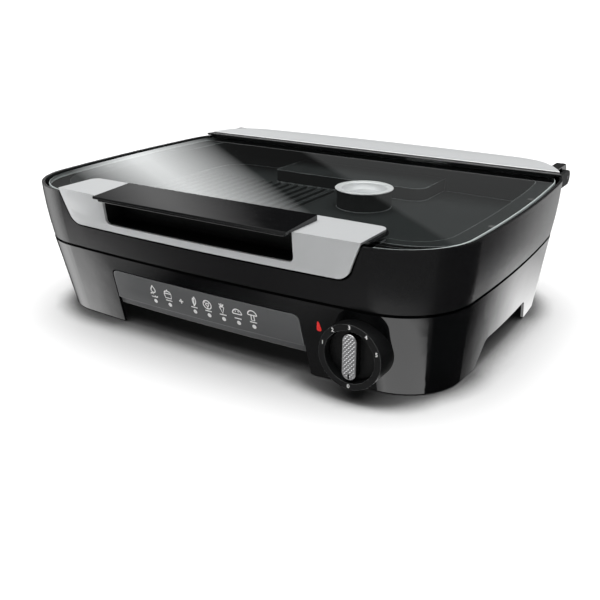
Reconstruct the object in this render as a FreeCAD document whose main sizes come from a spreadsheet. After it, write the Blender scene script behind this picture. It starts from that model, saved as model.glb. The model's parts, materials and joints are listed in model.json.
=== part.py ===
import FreeCAD, Part
import math
import os
import Sketcher

# Table-top electric grill with a hinged glass lid, a pull-out drip drawer and a temperature dial.
# Millimetres, +Z up, front towards -Y, origin on the table under the centre of the body.

SIZES = {
    # body outline: four bowed sides joined by large corners, at three heights
    "body_width": 460.0,
    "body_depth": 355.0,
    "front_bow_radius": 2710.0,
    "side_bow_radius": 1440.0,
    "rim_corner_radius": 71.5,
    "rim_height": 130.0,
    "belly_height": 104.0,
    "belly_bulge": 1.0,
    "seam_height": 75.5,
    "seam_gap": 2.5,
    "seam_inset_side": 5.0,
    "seam_inset_front": 8.5,
    "seam_corner_radius": 63.5,
    "skirt_inset_side": 13.5,
    "skirt_inset_front": 26.5,
    "skirt_corner_radius": 54.0,
    # walls
    "base_wall": 2.6,
    "housing_wall": 3.0,
    "neck_inset": 3.6,
    "neck_wall": 2.4,
    "neck_rise": 5.5,
    "small_gap": 0.3,
    # feet, cut-outs between the legs and the cover under the base
    "foot_height": 1.5,
    "foot_radius": 11.0,
    "foot_inset_side": 55.0,
    "foot_inset_depth": 66.5,
    "foot_post_radius": 14.0,
    "cover_height": 22.0,
    "cover_thickness": 2.5,
    "cover_notch_gap": 0.5,
    "side_cutout_width": 104.0,
    "side_cutout_flare": 16.0,
    "rear_cutout_width": 190.0,
    "rear_cutout_flare": 13.0,
    "cutout_height": 24.5,
    "cutout_corner_radius": 8.0,
    # front notch and drip drawer
    "notch_inset_left": 120.5,
    "notch_lens_gap": 17.5,
    "notch_flare": 3.0,
    "notch_height": 60.3,
    "notch_corner_radius": 7.0,
    "panel_gap": 1.1,
    "panel_bottom": 29.5,
    "panel_thickness": 3.0,
    "panel_lip_bottom": 22.5,
    "panel_lip_setback": 2.5,
    "tray_gap_side": 6.0,
    "tray_inset_front": 28.5,
    "tray_inset_rear": 72.5,
    "tray_gap_below": 1.5,
    "tray_gap_above": 5.3,
    "tray_wall": 1.5,
    "tray_corner_radius": 12.0,
    "tray_flange": 5.0,
    "rail_thickness": 2.0,
    # screw posts
    "post_radius": 4.6,
    "post_inset_side": 20.5,
    "post_spacing": 120.0,
    "post_rib": 2.0,
    "screw_radius": 1.75,
    "screw_hole_gap": 0.25,
    "screw_head_radius": 3.5,
    "screw_head_height": 2.0,
    "screw_bite": 16.0,
    # grill plate
    "ledge_drop": 9.7,
    "ledge_thickness": 2.8,
    "plate_pad_height": 0.7,
    "plate_pad_radius": 3.5,
    "flange_thickness": 2.8,
    "flange_gap_side": 2.5,
    "flange_gap_front": 1.4,
    "flange_gap_rear": 6.5,
    "flange_corner_radius": 62.0,
    "flange_border_side": 22.5,
    "flange_border_front": 12.0,
    "flange_border_rear": 15.0,
    "basin_corner_radius": 36.0,
    "basin_slope": 7.0,
    "basin_depth": 24.5,
    "basin_wall": 3.0,
    "basin_floor_thickness": 5.0,
    "step_left": 90.0,
    "step_right": 92.0,
    "step_depth": 68.0,
    "step_height": 13.5,
    "step_left_radius": 4.0,
    "step_right_radius": 14.0,
    "boss_x": 47.0,
    "boss_setback": 43.0,
    "boss_radius": 28.0,
    "boss_height": 18.0,
    "boss_wall": 3.0,
    "boss_bore_floor": 2.5,
    "rib_pitch": 11.5,
    "rib_width": 4.4,
    "rib_height": 3.4,
    "rib_count": 16.0,
    "rib_gap_side": 12.0,
    "rib_gap_front": 17.0,
    "rib_gap_rear": 11.0,
    "drain_count": 6.0,
    "drain_pitch": 13.0,
    "drain_length": 9.0,
    "drain_width": 3.2,
    "drain_inset": 6.0,
    "drain_gap": 3.5,
    # spice cup
    "cup_overhang": 1.8,
    "cup_gap_side": 1.0,
    "cup_gap_below": 2.8,
    "cup_taper": 4.8,
    "cup_sheet": 1.2,
    # heating element and reflector
    "tube_radius": 3.5,
    "tube_top_gap": 0.4,
    "heat_gap_left": 20.0,
    "heat_gap_right": 13.0,
    "heat_gap_front": 29.0,
    "heat_gap_rear": 103.0,
    "heat_return": 42.0,
    "heat_end_inset": 41.0,
    "heat_bend_gap": 3.0,
    "reflector_sheet": 1.0,
    "reflector_drop": 4.0,
    "reflector_lip": 17.5,
    "clip_width": 12.0,
    # glass lid
    "glass_drop": 1.3,
    "glass_thickness": 4.0,
    "glass_inset": 6.6,
    "glass_lap": 15.0,
    "trim_depth": 44.5,
    "carrier_lap": 7.0,
    "carrier_gap": 1.0,
    "carrier_thickness": 2.5,
    "trim_front_rise": 1.2,
    "trim_rear_rise": 3.6,
    "trim_border": 1.1,
    "trim_slope_length": 27.0,
    # front bezel and handle
    "bezel_corner_gap": 0.5,
    "bezel_flare": 13.0,
    "bezel_rise": 3.3,
    "bezel_height": 32.6,
    "bezel_depth": 51.5,
    "bezel_sheet": 2.5,
    "bezel_proud": 0.5,
    "bezel_corner_radius": 13.0,
    "bezel_rear_radius": 8.0,
    "bezel_gap": 1.8,
    "bezel_under_border": 1.6,
    "recess_half_width": 100.0,
    "recess_sill": 6.7,
    "recess_depth": 24.0,
    "recess_wall": 1.5,
    "recess_corner_radius": 5.0,
    "well_gap_side": 5.0,
    "well_gap_below": 1.9,
    "well_gap_rear": 3.6,
    "handle_overlap": 1.0,
    "handle_overhang": 8.5,
    "handle_depth": 46.0,
    "handle_rear_rise": 4.9,
    "handle_front_rise": 2.1,
    "handle_corner_radius": 3.0,
    # rear hinges
    "hinge_inset_side": 25.0,
    "hinge_setback": 1.0,
    "hinge_drop": 10.0,
    "hinge_barrel_radius": 7.5,
    "hinge_arm_width": 10.0,
    "hinge_arm_height": 4.0,
    "hinge_ear_width": 4.0,
    "hinge_side_gap": 0.4,
    "hinge_pin_radius": 2.0,
    "hinge_pin_fit": 0.05,
    # temperature dial
    "dial_inset_side": 78.5,
    "dial_z": 40.0,
    "dial_inset_front": 2.5,
    "ring_radius": 27.5,
    "ring_band": 5.3,
    "knob_gap": 0.4,
    "knob_recess": 8.0,
    "knob_thickness": 3.0,
    "knob_hub_length": 6.0,
    "grip_end_gap": 2.3,
    "grip_width": 12.5,
    "shaft_radius": 3.0,
    "shaft_fit": 0.05,
    "thermostat_width": 34.0,
    "thermostat_floor_gap": 2.0,
    "thermostat_depth": 20.0,
    "bush_radius": 5.5,
    "bracket_inset": 35.5,
    "bracket_sheet": 1.5,
    # pilot light
    "lens_offset": 35.5,
    "lens_rise": 13.0,
    "lens_width": 5.0,
    "lens_height": 9.0,
    "lamp_length": 8.0,
    # mains inlet
    "inlet_inset_side": 105.0,
    "inlet_z": 46.0,
    "inlet_width": 34.0,
    "inlet_height": 25.0,
    "inlet_depth": 24.0,
    "inlet_inset_rear": 13.5,
    "socket_width": 25.0,
    "socket_height": 16.5,
    "socket_depth": 17.0,
    "pin_pitch": 7.0,
    "inlet_pin_radius": 1.9,
}


class Size:
    """A length that keeps both its value and the sheet expression it comes from."""

    def __init__(self, text, value):
        self.text = text
        self.value = value

    @staticmethod
    def of(item):
        return item if isinstance(item, Size) else Size(repr(float(item)), float(item))

    def __add__(self, other):
        other = Size.of(other)
        return Size(f"({self.text} + {other.text})", self.value + other.value)

    def __sub__(self, other):
        other = Size.of(other)
        return Size(f"({self.text} - {other.text})", self.value - other.value)

    def __mul__(self, other):
        other = Size.of(other)
        return Size(f"({self.text} * {other.text})", self.value * other.value)

    def __truediv__(self, other):
        other = Size.of(other)
        return Size(f"({self.text} / {other.text})", self.value / other.value)

    def __neg__(self):
        return Size(f"(-1 * {self.text})", -self.value)

    def __radd__(self, other):
        return Size.of(other) + self

    def __rsub__(self, other):
        return Size.of(other) - self

    def __rmul__(self, other):
        return Size.of(other) * self


doc = FreeCAD.newDocument("table_grill")
sheet = doc.addObject("Spreadsheet::Sheet", "sizes")
for row, (alias, number) in enumerate(SIZES.items(), start=1):
    sheet.set(f"A{row}", alias)
    sheet.set(f"B{row}", str(number))
    sheet.setAlias(f"B{row}", alias)
doc.recompute()


class Sheet:
    """Gives each alias of the sheet as a Size."""

    def __getattr__(self, alias):
        return Size(f"sizes.{alias}", SIZES[alias])


s = Sheet()
nodes = []
cuts = []


def bind(thing, prop, size):
    thing.setExpression(prop, Size.of(size).text)


def keep(label, thing):
    thing.Label = label
    nodes.append(thing)
    return thing


# ---- sketch drawing -------------------------------------------------------------------------

def constrain(sketch, kind, references, size):
    size = Size.of(size)
    index = sketch.addConstraint(Sketcher.Constraint(kind, *references, size.value))
    name = f"size{index}"
    sketch.renameConstraint(index, name)
    bind(sketch, f"Constraints.{name}", size)


def place(sketch, geometry, point, x, y):
    constrain(sketch, "DistanceX", (-1, 1, geometry, point), x)
    constrain(sketch, "DistanceY", (-1, 1, geometry, point), y)


def drawCircle(sketch, x, y, radius):
    x, y, radius = Size.of(x), Size.of(y), Size.of(radius)
    centre = FreeCAD.Vector(x.value, y.value, 0)
    circle = sketch.addGeometry(Part.Circle(centre, FreeCAD.Vector(0, 0, 1), radius.value), False)
    place(sketch, circle, 3, x, y)
    constrain(sketch, "Radius", (circle,), radius)


def drawPath(sketch, vertices, closed=True):
    """Straight lines through the vertices (x, y, radius); a radius rounds its corner by a tangent arc."""
    points = []
    for vertex in vertices:
        points.append(FreeCAD.Vector(Size.of(vertex[0]).value, Size.of(vertex[1]).value, 0))
    count = len(points)
    starts = list(points)
    ends = list(points)
    arcs = {}
    for i, vertex in enumerate(vertices):
        radius = Size.of(vertex[2]) if len(vertex) > 2 else None
        if radius is None or (not closed and i in (0, count - 1)):
            continue
        into = (points[i] - points[i - 1]).normalize()
        out = (points[(i + 1) % count] - points[i]).normalize()
        turn = math.atan2(into.x * out.y - into.y * out.x, into.dot(out))
        reach = radius.value * math.tan(abs(turn) / 2)
        first = points[i] - into * reach
        last = points[i] + out * reach
        side = 1 if turn > 0 else -1
        centre = first + FreeCAD.Vector(-into.y, into.x, 0) * (side * radius.value)
        ends[i] = first
        starts[i] = last
        arcs[i] = (radius, centre, first, last, side)
    lines = {}
    spans = count if closed else count - 1
    for i in range(spans):
        lines[i] = sketch.addGeometry(Part.LineSegment(starts[i], ends[(i + 1) % count]), False)
    for i in range(count):
        before = lines.get((i - 1) % count)
        after = lines.get(i)
        x, y = vertices[i][0], vertices[i][1]
        if i not in arcs:
            if after is not None:
                place(sketch, after, 1, x, y)
            if before is not None and after is not None:
                sketch.addConstraint(Sketcher.Constraint("Coincident", before, 2, after, 1))
            if after is None:
                place(sketch, before, 2, x, y)
            continue
        radius, centre, first, last, side = arcs[i]
        begin, finish = (first, last) if side > 0 else (last, first)
        angles = [math.atan2(p.y - centre.y, p.x - centre.x) for p in (begin, finish)]
        circle = Part.Circle(centre, FreeCAD.Vector(0, 0, 1), radius.value)
        arc = sketch.addGeometry(Part.ArcOfCircle(circle, angles[0], angles[1]), False)
        corner = sketch.addGeometry(Part.Point(points[i]), True)
        place(sketch, corner, 1, x, y)
        entry, leave = (1, 2) if side > 0 else (2, 1)
        sketch.addConstraint(Sketcher.Constraint("Tangent", before, 2, arc, entry))
        sketch.addConstraint(Sketcher.Constraint("Tangent", arc, leave, after, 1))
        sketch.addConstraint(Sketcher.Constraint("PointOnObject", corner, 1, before))
        sketch.addConstraint(Sketcher.Constraint("PointOnObject", corner, 1, after))
        constrain(sketch, "Radius", (arc,), radius)


def drawRectangle(sketch, left, right, low, high, radius=None):
    corners = [(left, low), (right, low), (right, high), (left, high)]
    drawPath(sketch, [corner if radius is None else corner + (radius,) for corner in corners])


def drawBowed(sketch, half_width, half_depth, corner, centre_y=0):
    """A rectangle with bowed sides: four large arcs joined by four tangent corner arcs."""
    side, front = s.side_bow_radius, s.front_bow_radius
    side_x = half_width - side
    front_y = half_depth - front
    shift = Size.of(centre_y)
    reach_side = side.value - corner.value
    reach_front = front.value - corner.value
    apart = math.hypot(side_x.value, front_y.value)
    along = (reach_side ** 2 - reach_front ** 2 + apart ** 2) / (2 * apart)
    across = math.sqrt(reach_side ** 2 - along ** 2)
    unit_x, unit_y = -side_x.value / apart, front_y.value / apart
    corner_x = side_x.value + unit_x * along - unit_y * across
    corner_y = unit_y * along + unit_x * across
    side_angle = math.atan2(corner_y, corner_x - side_x.value)
    front_angle = math.atan2(corner_y - front_y.value, corner_x)
    quarter = math.pi / 2
    arcs = []
    layout = [
        (side_x.value, 0, side.value, -side_angle, side_angle),
        (corner_x, corner_y, corner.value, side_angle, front_angle),
        (0, front_y.value, front.value, front_angle, 2 * quarter - front_angle),
        (-corner_x, corner_y, corner.value, 2 * quarter - front_angle, 2 * quarter - side_angle),
        (-side_x.value, 0, side.value, 2 * quarter - side_angle, 2 * quarter + side_angle),
        (-corner_x, -corner_y, corner.value, 2 * quarter + side_angle, 2 * quarter + front_angle),
        (0, -front_y.value, front.value, 2 * quarter + front_angle, 4 * quarter - front_angle),
        (corner_x, -corner_y, corner.value, 4 * quarter - front_angle, 4 * quarter - side_angle),
    ]
    for x, y, radius, start, stop in layout:
        circle = Part.Circle(FreeCAD.Vector(x, y + shift.value, 0), FreeCAD.Vector(0, 0, 1), radius)
        arcs.append(sketch.addGeometry(Part.ArcOfCircle(circle, start, stop), False))
    for i in range(8):
        sketch.addConstraint(Sketcher.Constraint("Tangent", arcs[i], 2, arcs[(i + 1) % 8], 1))
    for first, other in ((0, 4), (2, 6), (1, 3), (1, 5), (1, 7)):
        sketch.addConstraint(Sketcher.Constraint("Equal", arcs[first], arcs[other]))
    constrain(sketch, "Radius", (arcs[0],), side)
    constrain(sketch, "Radius", (arcs[2],), front)
    constrain(sketch, "Radius", (arcs[1],), corner)
    place(sketch, arcs[0], 3, side_x, shift)
    place(sketch, arcs[2], 3, 0, shift + front_y)
    place(sketch, arcs[4], 3, -side_x, shift)
    place(sketch, arcs[6], 3, 0, shift - front_y)


# ---- part design features -------------------------------------------------------------------

def newBody(label):
    body = doc.addObject("PartDesign::Body", label)
    return keep(label, body)


def sketchOn(body, plane, offset):
    sketch = body.newObject("Sketcher::SketchObject", body.Name + "_sketch")
    origin = [f for f in body.Origin.OriginFeatures if f.Role == plane + "_Plane"][0]
    sketch.AttachmentSupport = [(origin, "")]
    sketch.MapMode = "FlatFace"
    bind(sketch, "AttachmentOffset.Base.z", offset)
    return sketch


def padded(body, plane, low, high, draw, *sizes):
    """Adds the drawn outline between two levels of the axis that crosses the plane."""
    sketch = sketchOn(body, plane, -Size.of(high) if plane == "XZ" else low)
    draw(sketch, *sizes)
    pad = body.newObject("PartDesign::Pad", body.Name + "_pad")
    pad.Profile = sketch
    bind(pad, "Length", Size.of(high) - low)
    body.Tip = pad
    return pad


def pocketed(body, plane, low, high, draw, *sizes):
    """Cuts the drawn outline between two levels of the axis that crosses the plane."""
    sketch = sketchOn(body, plane, -Size.of(low) if plane == "XZ" else high)
    draw(sketch, *sizes)
    pocket = body.newObject("PartDesign::Pocket", body.Name + "_pocket")
    pocket.Profile = sketch
    bind(pocket, "Length", Size.of(high) - low)
    body.Tip = pocket
    cuts.append(pocket)
    return pocket


def lofted(body, kind, levels, ruled=True):
    """Lofts bowed outlines (half width, half depth, corner, height[, centre y]) into the body."""
    sketches = []
    for half_width, half_depth, corner, height, *centre_y in levels:
        sketch = sketchOn(body, "XY", height)
        drawBowed(sketch, half_width, half_depth, corner, *centre_y)
        sketches.append(sketch)
    loft = body.newObject(f"PartDesign::{kind}Loft", body.Name + "_loft")
    loft.Profile = sketches[0]
    loft.Sections = sketches[1:]
    loft.Ruled = ruled
    body.Tip = loft
    if kind == "Subtractive":
        cuts.append(loft)
    return loft


def revolved(body, vertices):
    sketch = sketchOn(body, "XZ", 0)
    drawPath(sketch, vertices)
    turn = body.newObject("PartDesign::Revolution", body.Name + "_revolution")
    turn.Profile = sketch
    turn.ReferenceAxis = (sketch, ["V_Axis"])
    turn.Angle = 360
    body.Tip = turn
    return turn


def repeated(body, feature, sketch_axis, pitch, count):
    pattern = body.newObject("PartDesign::LinearPattern", body.Name + "_pattern")
    pattern.Originals = [feature]
    pattern.Direction = (feature.Profile[0], [sketch_axis])
    bind(pattern, "Length", pitch * (count - 1))
    bind(pattern, "Occurrences", count)
    body.Tip = pattern
    return pattern


def moveTo(thing, x, y, z):
    for axis, size in (("x", x), ("y", y), ("z", z)):
        bind(thing, f"Placement.Base.{axis}", size)


# ---- part workbench pieces ------------------------------------------------------------------

def box(name, x0, x1, y0, y1, z0, z1):
    block = doc.addObject("Part::Box", name)
    for side, low, high in (("Length", x0, x1), ("Width", y0, y1), ("Height", z0, z1)):
        bind(block, side, Size.of(high) - low)
    moveTo(block, x0, y0, z0)
    return block


TURNS = {
    "x": FreeCAD.Rotation(FreeCAD.Vector(0, 1, 0), 90),
    "y": FreeCAD.Rotation(FreeCAD.Vector(1, 0, 0), -90),
    "front": FreeCAD.Rotation(FreeCAD.Vector(1, 0, 0), 90),
    "z": FreeCAD.Rotation(),
}


def cylinder(name, radius, length, x, y, z, along="z"):
    rod = doc.addObject("Part::Cylinder", name)
    rod.Placement = FreeCAD.Placement(FreeCAD.Vector(), TURNS[along])
    bind(rod, "Radius", radius)
    bind(rod, "Height", length)
    moveTo(rod, x, y, z)
    return rod


def fused(name, pieces):
    union = doc.addObject("Part::MultiFuse", name)
    union.Shapes = pieces
    return union


def cut(name, base, tool):
    result = doc.addObject("Part::Cut", name)
    result.Base = base
    result.Tool = tool
    cuts.append(result)
    return result


def common(name, pieces):
    shared = doc.addObject("Part::MultiCommon", name)
    shared.Shapes = pieces
    return shared


def group(name, pieces):
    compound = doc.addObject("Part::Compound", name)
    compound.Links = pieces
    return compound


def bowedLoft(name, levels, ruled=True):
    """A loose loft through bowed outlines (half width, half depth, corner, height[, centre y])."""
    sketches = []
    for half_width, half_depth, corner, height, *centre_y in levels:
        sketch = doc.addObject("Sketcher::SketchObject", name + "_outline")
        bind(sketch, "Placement.Base.z", height)
        drawBowed(sketch, half_width, half_depth, corner, *centre_y)
        sketches.append(sketch)
    loft = doc.addObject("Part::Loft", name)
    loft.Sections = sketches
    loft.Solid = True
    loft.Ruled = ruled
    return loft


def prism(name, plane, low, high, draw, *sizes):
    """A loose prism of the drawn outline between two levels of the axis that crosses the plane."""
    sketch = doc.addObject("Sketcher::SketchObject", name + "_outline")
    turns = {
        "XY": FreeCAD.Rotation(),
        "XZ": FreeCAD.Rotation(FreeCAD.Vector(1, 0, 0), 90),
        "YZ": FreeCAD.Rotation(FreeCAD.Vector(1, 1, 1), 120),
    }
    sketch.Placement = FreeCAD.Placement(FreeCAD.Vector(), turns[plane])
    axis = {"XY": "z", "XZ": "y", "YZ": "x"}[plane]
    bind(sketch, f"Placement.Base.{axis}", high if plane == "XZ" else low)
    draw(sketch, *sizes)
    solid = doc.addObject("Part::Extrusion", name)
    solid.Base = sketch
    solid.DirMode = "Normal"
    solid.Solid = True
    bind(solid, "LengthFwd", Size.of(high) - low)
    return solid


# ---- sizes that follow from the sheet -------------------------------------------------------

half_width = s.body_width / 2
half_depth = s.body_depth / 2
far = s.body_width

# levels of the housings, from the table up
cover_top = s.cover_height + s.cover_thickness
shoulder_z = s.seam_height - s.seam_gap / 2
sill_z = s.seam_height + s.seam_gap / 2
neck_top = shoulder_z + s.neck_rise
post_seat = neck_top + s.reflector_sheet + s.small_gap / 3
ledge_top = s.rim_height - s.ledge_drop
ledge_bottom = ledge_top - s.ledge_thickness

# what sits in the front: dial at the right, pilot light beside it, then the notch of the drip drawer
dial_x = half_width - s.dial_inset_side
lens_x = dial_x - s.lens_offset
notch_left = s.notch_inset_left - half_width
notch_right = lens_x - s.notch_lens_gap
drawer_centre = (notch_left + notch_right) / 2
notch_top = (notch_right - notch_left) / 2
notch_foot = notch_top + s.notch_flare
tray_left = notch_left + s.tray_gap_side
tray_right = notch_right - s.tray_gap_side
tray_front = half_depth - s.tray_inset_front
tray_rear = half_depth - s.tray_inset_rear
tray_bottom = cover_top + s.tray_gap_below
tray_top = s.notch_height - s.tray_gap_above
rail_top = tray_top - s.tray_wall - s.small_gap

# lid: bezel, finger opening, the well it hangs in, handle, glass, rear carrier and trim
bezel_half = half_width - s.rim_corner_radius - s.bezel_corner_gap
bezel_foot = bezel_half - s.bezel_flare
bezel_top = s.rim_height + s.bezel_rise
bezel_bottom = bezel_top - s.bezel_height
bezel_rear = half_depth - s.bezel_depth
under_top = bezel_top - s.bezel_sheet
recess_bottom = bezel_bottom + s.recess_sill
recess_rear = half_depth - s.recess_wall * 3 - s.recess_depth
well_half = bezel_half + s.well_gap_side
well_floor = bezel_bottom - s.well_gap_below
well_rear = recess_rear - s.well_gap_rear
handle_half = s.recess_half_width + s.handle_overlap
handle_front = half_depth + s.handle_overhang
handle_rear = handle_front - s.handle_depth
handle_screw_y = (recess_rear + half_depth) / 2
handle_screw_places = [-s.recess_half_width * 0.7, s.recess_half_width * 0.7]
glass_top = s.rim_height - s.glass_drop
glass_bottom = glass_top - s.glass_thickness
glass_front = well_rear + s.recess_wall
lid_rear = half_depth - s.trim_depth
glass_rear = lid_rear + s.glass_lap
carrier_front = lid_rear - s.carrier_lap
carrier_bottom = s.rim_height + s.carrier_gap
carrier_top = carrier_bottom + s.carrier_thickness
trim_slope_end = lid_rear + s.trim_slope_length

# hinges
hinge_x = half_width - s.hinge_inset_side
hinge_y = half_depth + s.hinge_setback
hinge_z = s.rim_height - s.hinge_drop

# grill plate: flange on the ledge, basin within the flange, and what stands on its floor
flange_half = half_width - s.housing_wall - s.flange_gap_side
flange_front = well_rear - s.housing_wall - s.flange_gap_front
flange_rear = half_depth - s.housing_wall - s.flange_gap_rear
flange_bottom = ledge_top + s.plate_pad_height
flange_top = flange_bottom + s.flange_thickness
basin_half = flange_half - s.flange_border_side
basin_front = flange_front - s.flange_border_front
basin_rear = flange_rear - s.flange_border_rear
floor_half = basin_half - s.basin_slope
floor_top = flange_bottom - s.basin_depth
floor_bottom = floor_top - s.basin_floor_thickness
step_front = basin_rear - s.step_depth
boss_y = step_front - s.boss_setback
boss_bore = s.boss_radius - s.boss_wall
cup_depth = s.boss_height + s.small_gap - s.boss_bore_floor - s.cup_gap_below
cup_mouth = boss_bore - s.cup_gap_side - s.cup_sheet
cup_base = cup_mouth - s.cup_taper
rib_first_x = s.rib_gap_side - floor_half
rib_front = basin_front - s.rib_gap_front
rib_rear = step_front - s.rib_gap_rear
drain_first_x = s.drain_inset - s.step_left
drain_y = step_front - s.drain_gap

# heating element under the floor
heat_left = floor_half - s.heat_gap_left
heat_right = floor_half - s.heat_gap_right
heat_inner = heat_right - s.heat_return
heat_front = basin_front - s.heat_gap_front
heat_pitch = (heat_front + basin_rear - s.heat_gap_rear) / 3
heat_bend = heat_pitch / 2 - s.heat_bend_gap
heat_end = basin_rear - s.heat_end_inset
tube_z = floor_bottom - s.tube_top_gap - s.tube_radius
dish_floor = neck_top + s.reflector_sheet - s.reflector_drop

# dial, thermostat, pilot light and mains inlet
dial_face = half_depth - s.dial_inset_front
ring_bore = s.ring_radius - s.ring_band
knob_radius = ring_bore - s.knob_gap
knob_back = dial_face - s.knob_recess - s.knob_thickness
knob_front = knob_back + s.knob_thickness
bracket_y = half_depth - s.bracket_inset
thermostat_half = s.dial_z - cover_top - s.thermostat_floor_gap
lens_z = s.dial_z + s.lens_rise
inlet_x = s.inlet_inset_side - half_width
inlet_rear = half_depth - s.inlet_inset_rear


# ---- outlines of the body at its main heights -----------------------------------------------

def outline(level, grow=0, height=None):
    """Half width, half depth, corner radius and height of the body outline, grown outwards."""
    share = (s.rim_height - s.belly_height) / (s.rim_height - sill_z)
    belly_corner = s.rim_corner_radius - (s.rim_corner_radius - s.seam_corner_radius) * share
    insets = {
        "skirt": (s.skirt_inset_side, s.skirt_inset_front, s.skirt_corner_radius, s.foot_height),
        "shoulder": (s.seam_inset_side, s.seam_inset_front, s.seam_corner_radius, shoulder_z),
        "sill": (s.seam_inset_side, s.seam_inset_front, s.seam_corner_radius, sill_z),
        "belly": (s.seam_inset_side * share - s.belly_bulge, s.seam_inset_front * share - s.belly_bulge,
                  belly_corner + s.belly_bulge, s.belly_height),
        "rim": (Size.of(0), Size.of(0), s.rim_corner_radius, s.rim_height),
    }
    inset_side, inset_front, corner, level_z = insets[level]
    grow = Size.of(grow)
    return (half_width - inset_side + grow, half_depth - inset_front + grow, corner + grow,
            level_z if height is None else height)


def skirtOutline(height, grow=0):
    """The outline of the lower housing at any height between its foot and its shoulder."""
    share = (height - s.foot_height) / (shoulder_z - s.foot_height)
    low, high = outline("skirt", grow), outline("shoulder", grow)
    mixed = [a + (b - a) * share for a, b in zip(low[:3], high[:3])]
    return (*mixed, height)


def baseSkin(name, grow=0):
    return bowedLoft(name, [outline("skirt", grow), outline("shoulder", grow)])


def housingSkin(name, grow=0):
    levels = [outline("sill", grow), outline("belly", grow), outline("rim", grow)]
    return bowedLoft(name, levels, ruled=False)


def fourWays(x, y):
    """The four points that mirror one point in both vertical planes."""
    return [(x * i, y * j) for i in (-1, 1) for j in (-1, 1)]


post_places = fourWays(half_width - s.post_inset_side, s.post_spacing / 2)
foot_places = fourWays(half_width - s.foot_inset_side, half_depth - s.foot_inset_depth)


def notchPath(sketch, gap):
    """The front notch, open at the foot, less a gap all round."""
    slope = s.notch_flare / (s.notch_height - s.foot_height)
    top_half = notch_top - gap
    foot_half = top_half + slope * (s.notch_height + s.foot_height)
    drawPath(sketch, [
        (drawer_centre - foot_half, -s.foot_height),
        (drawer_centre + foot_half, -s.foot_height),
        (drawer_centre + top_half, s.notch_height - gap, s.notch_corner_radius - gap),
        (drawer_centre - top_half, s.notch_height - gap, s.notch_corner_radius - gap),
    ])


def cutoutPath(sketch, width, flare):
    """A cut-out between two legs, wider at the table."""
    foot_half = width / 2 + flare * (s.cutout_height + s.foot_height) / s.cutout_height
    drawPath(sketch, [
        (-foot_half, -s.foot_height),
        (foot_half, -s.foot_height),
        (width / 2, s.cutout_height, s.cutout_corner_radius),
        (-width / 2, s.cutout_height, s.cutout_corner_radius),
    ])


# ---- lower housing --------------------------------------------------------------------------

def baseHousing():
    neck_levels = [outline("shoulder", -s.neck_inset, shoulder_z - s.base_wall),
                   outline("shoulder", -s.neck_inset, neck_top)]
    outer = fused("base_outer", [baseSkin("base_skin"), bowedLoft("neck_outer", neck_levels)])
    neck_bore = -(s.neck_inset + s.neck_wall)
    room = fused("base_room", [
        bowedLoft("base_room_low", [outline("skirt", -s.base_wall),
                                    outline("shoulder", -s.base_wall, shoulder_z - s.base_wall)]),
        bowedLoft("base_room_neck", [outline("shoulder", neck_bore, shoulder_z - s.base_wall * 2),
                                     outline("shoulder", neck_bore, neck_top)]),
    ])
    kept = []
    for x, y in post_places:
        reach = s.post_radius * 3
        kept.append(cylinder("base_post", s.post_radius, neck_top - cover_top, x, y, cover_top))
        inner, outer_end = (x, x + reach) if x.value > 0 else (x - reach, x)
        kept.append(box("base_post_rib", inner, outer_end, y - s.post_rib / 2, y + s.post_rib / 2,
                        cover_top, shoulder_z))
    shell = cut("base_shell", outer, cut("base_void", room, fused("base_posts", kept)))
    holes = [
        prism("front_notch", "XZ", -far, -half_depth / 2, notchPath, Size.of(0)),
        prism("side_cutouts", "YZ", -far, far, cutoutPath, s.side_cutout_width, s.side_cutout_flare),
        prism("rear_cutout", "XZ", half_depth / 2, far, cutoutPath, s.rear_cutout_width,
              s.rear_cutout_flare),
        cylinder("dial_hole", s.bush_radius + s.small_gap * 3, half_depth, dial_x, -half_depth / 2,
                 s.dial_z, "front"),
        prism("lens_hole", "XZ", -far, -half_depth / 2, lensPath, s.small_gap / 2),
        box("inlet_hole", inlet_x - s.inlet_width / 2 - s.small_gap,
            inlet_x + s.inlet_width / 2 + s.small_gap, half_depth / 2, far,
            s.inlet_z - s.inlet_height / 2 - s.small_gap, s.inlet_z + s.inlet_height / 2 + s.small_gap),
    ]
    for x, y in post_places:
        holes.append(cylinder("base_post_bore", s.screw_radius + s.screw_hole_gap, s.rim_height, x, y,
                              s.foot_height))
    keep("base_housing", cut("base_housing_cut", shell, fused("base_holes", holes)))


def lensPath(sketch, grow):
    """A flame standing on a round foot, leaning a little to the left at its tip."""
    half = s.lens_width / 2
    low, high = lens_z - s.lens_height / 2 - grow, lens_z + s.lens_height / 2 + grow
    drawPath(sketch, [
        (lens_x - half - grow, low, half * 0.65 + grow),
        (lens_x + half + grow, low, half * 0.65 + grow),
        (lens_x + half * 0.15 + grow, high, half * 0.25 + grow),
        (lens_x - half * 0.35 - grow, high, half * 0.25 + grow),
    ])


def bottomCover():
    grow = -(s.base_wall + s.small_gap * 2)
    cover = newBody("bottom_cover")
    lofted(cover, "Additive", [skirtOutline(s.cover_height, grow), skirtOutline(s.cover_height, grow)[:3]
                               + (cover_top,)])
    for x, y in foot_places:
        padded(cover, "XY", s.foot_height * 2.5, s.cover_height, drawCircle, x, y, s.foot_post_radius)
    for x, y in post_places:
        pocketed(cover, "XY", s.cover_height, cover_top, drawCircle, x, y,
                 s.screw_radius + s.screw_hole_gap)
    notch_half = notch_foot + s.base_wall
    pocketed(cover, "XY", s.cover_height, cover_top, drawRectangle, drawer_centre - notch_half,
             drawer_centre + notch_half, -half_depth,
             s.cover_notch_gap - tray_front)


def rubberFeet():
    feet = []
    for x, y in foot_places:
        feet.append(cylinder("foot", s.foot_radius, s.foot_height * 2.5, x, y, 0))
    keep("rubber_feet", group("feet_group", feet))


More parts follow.
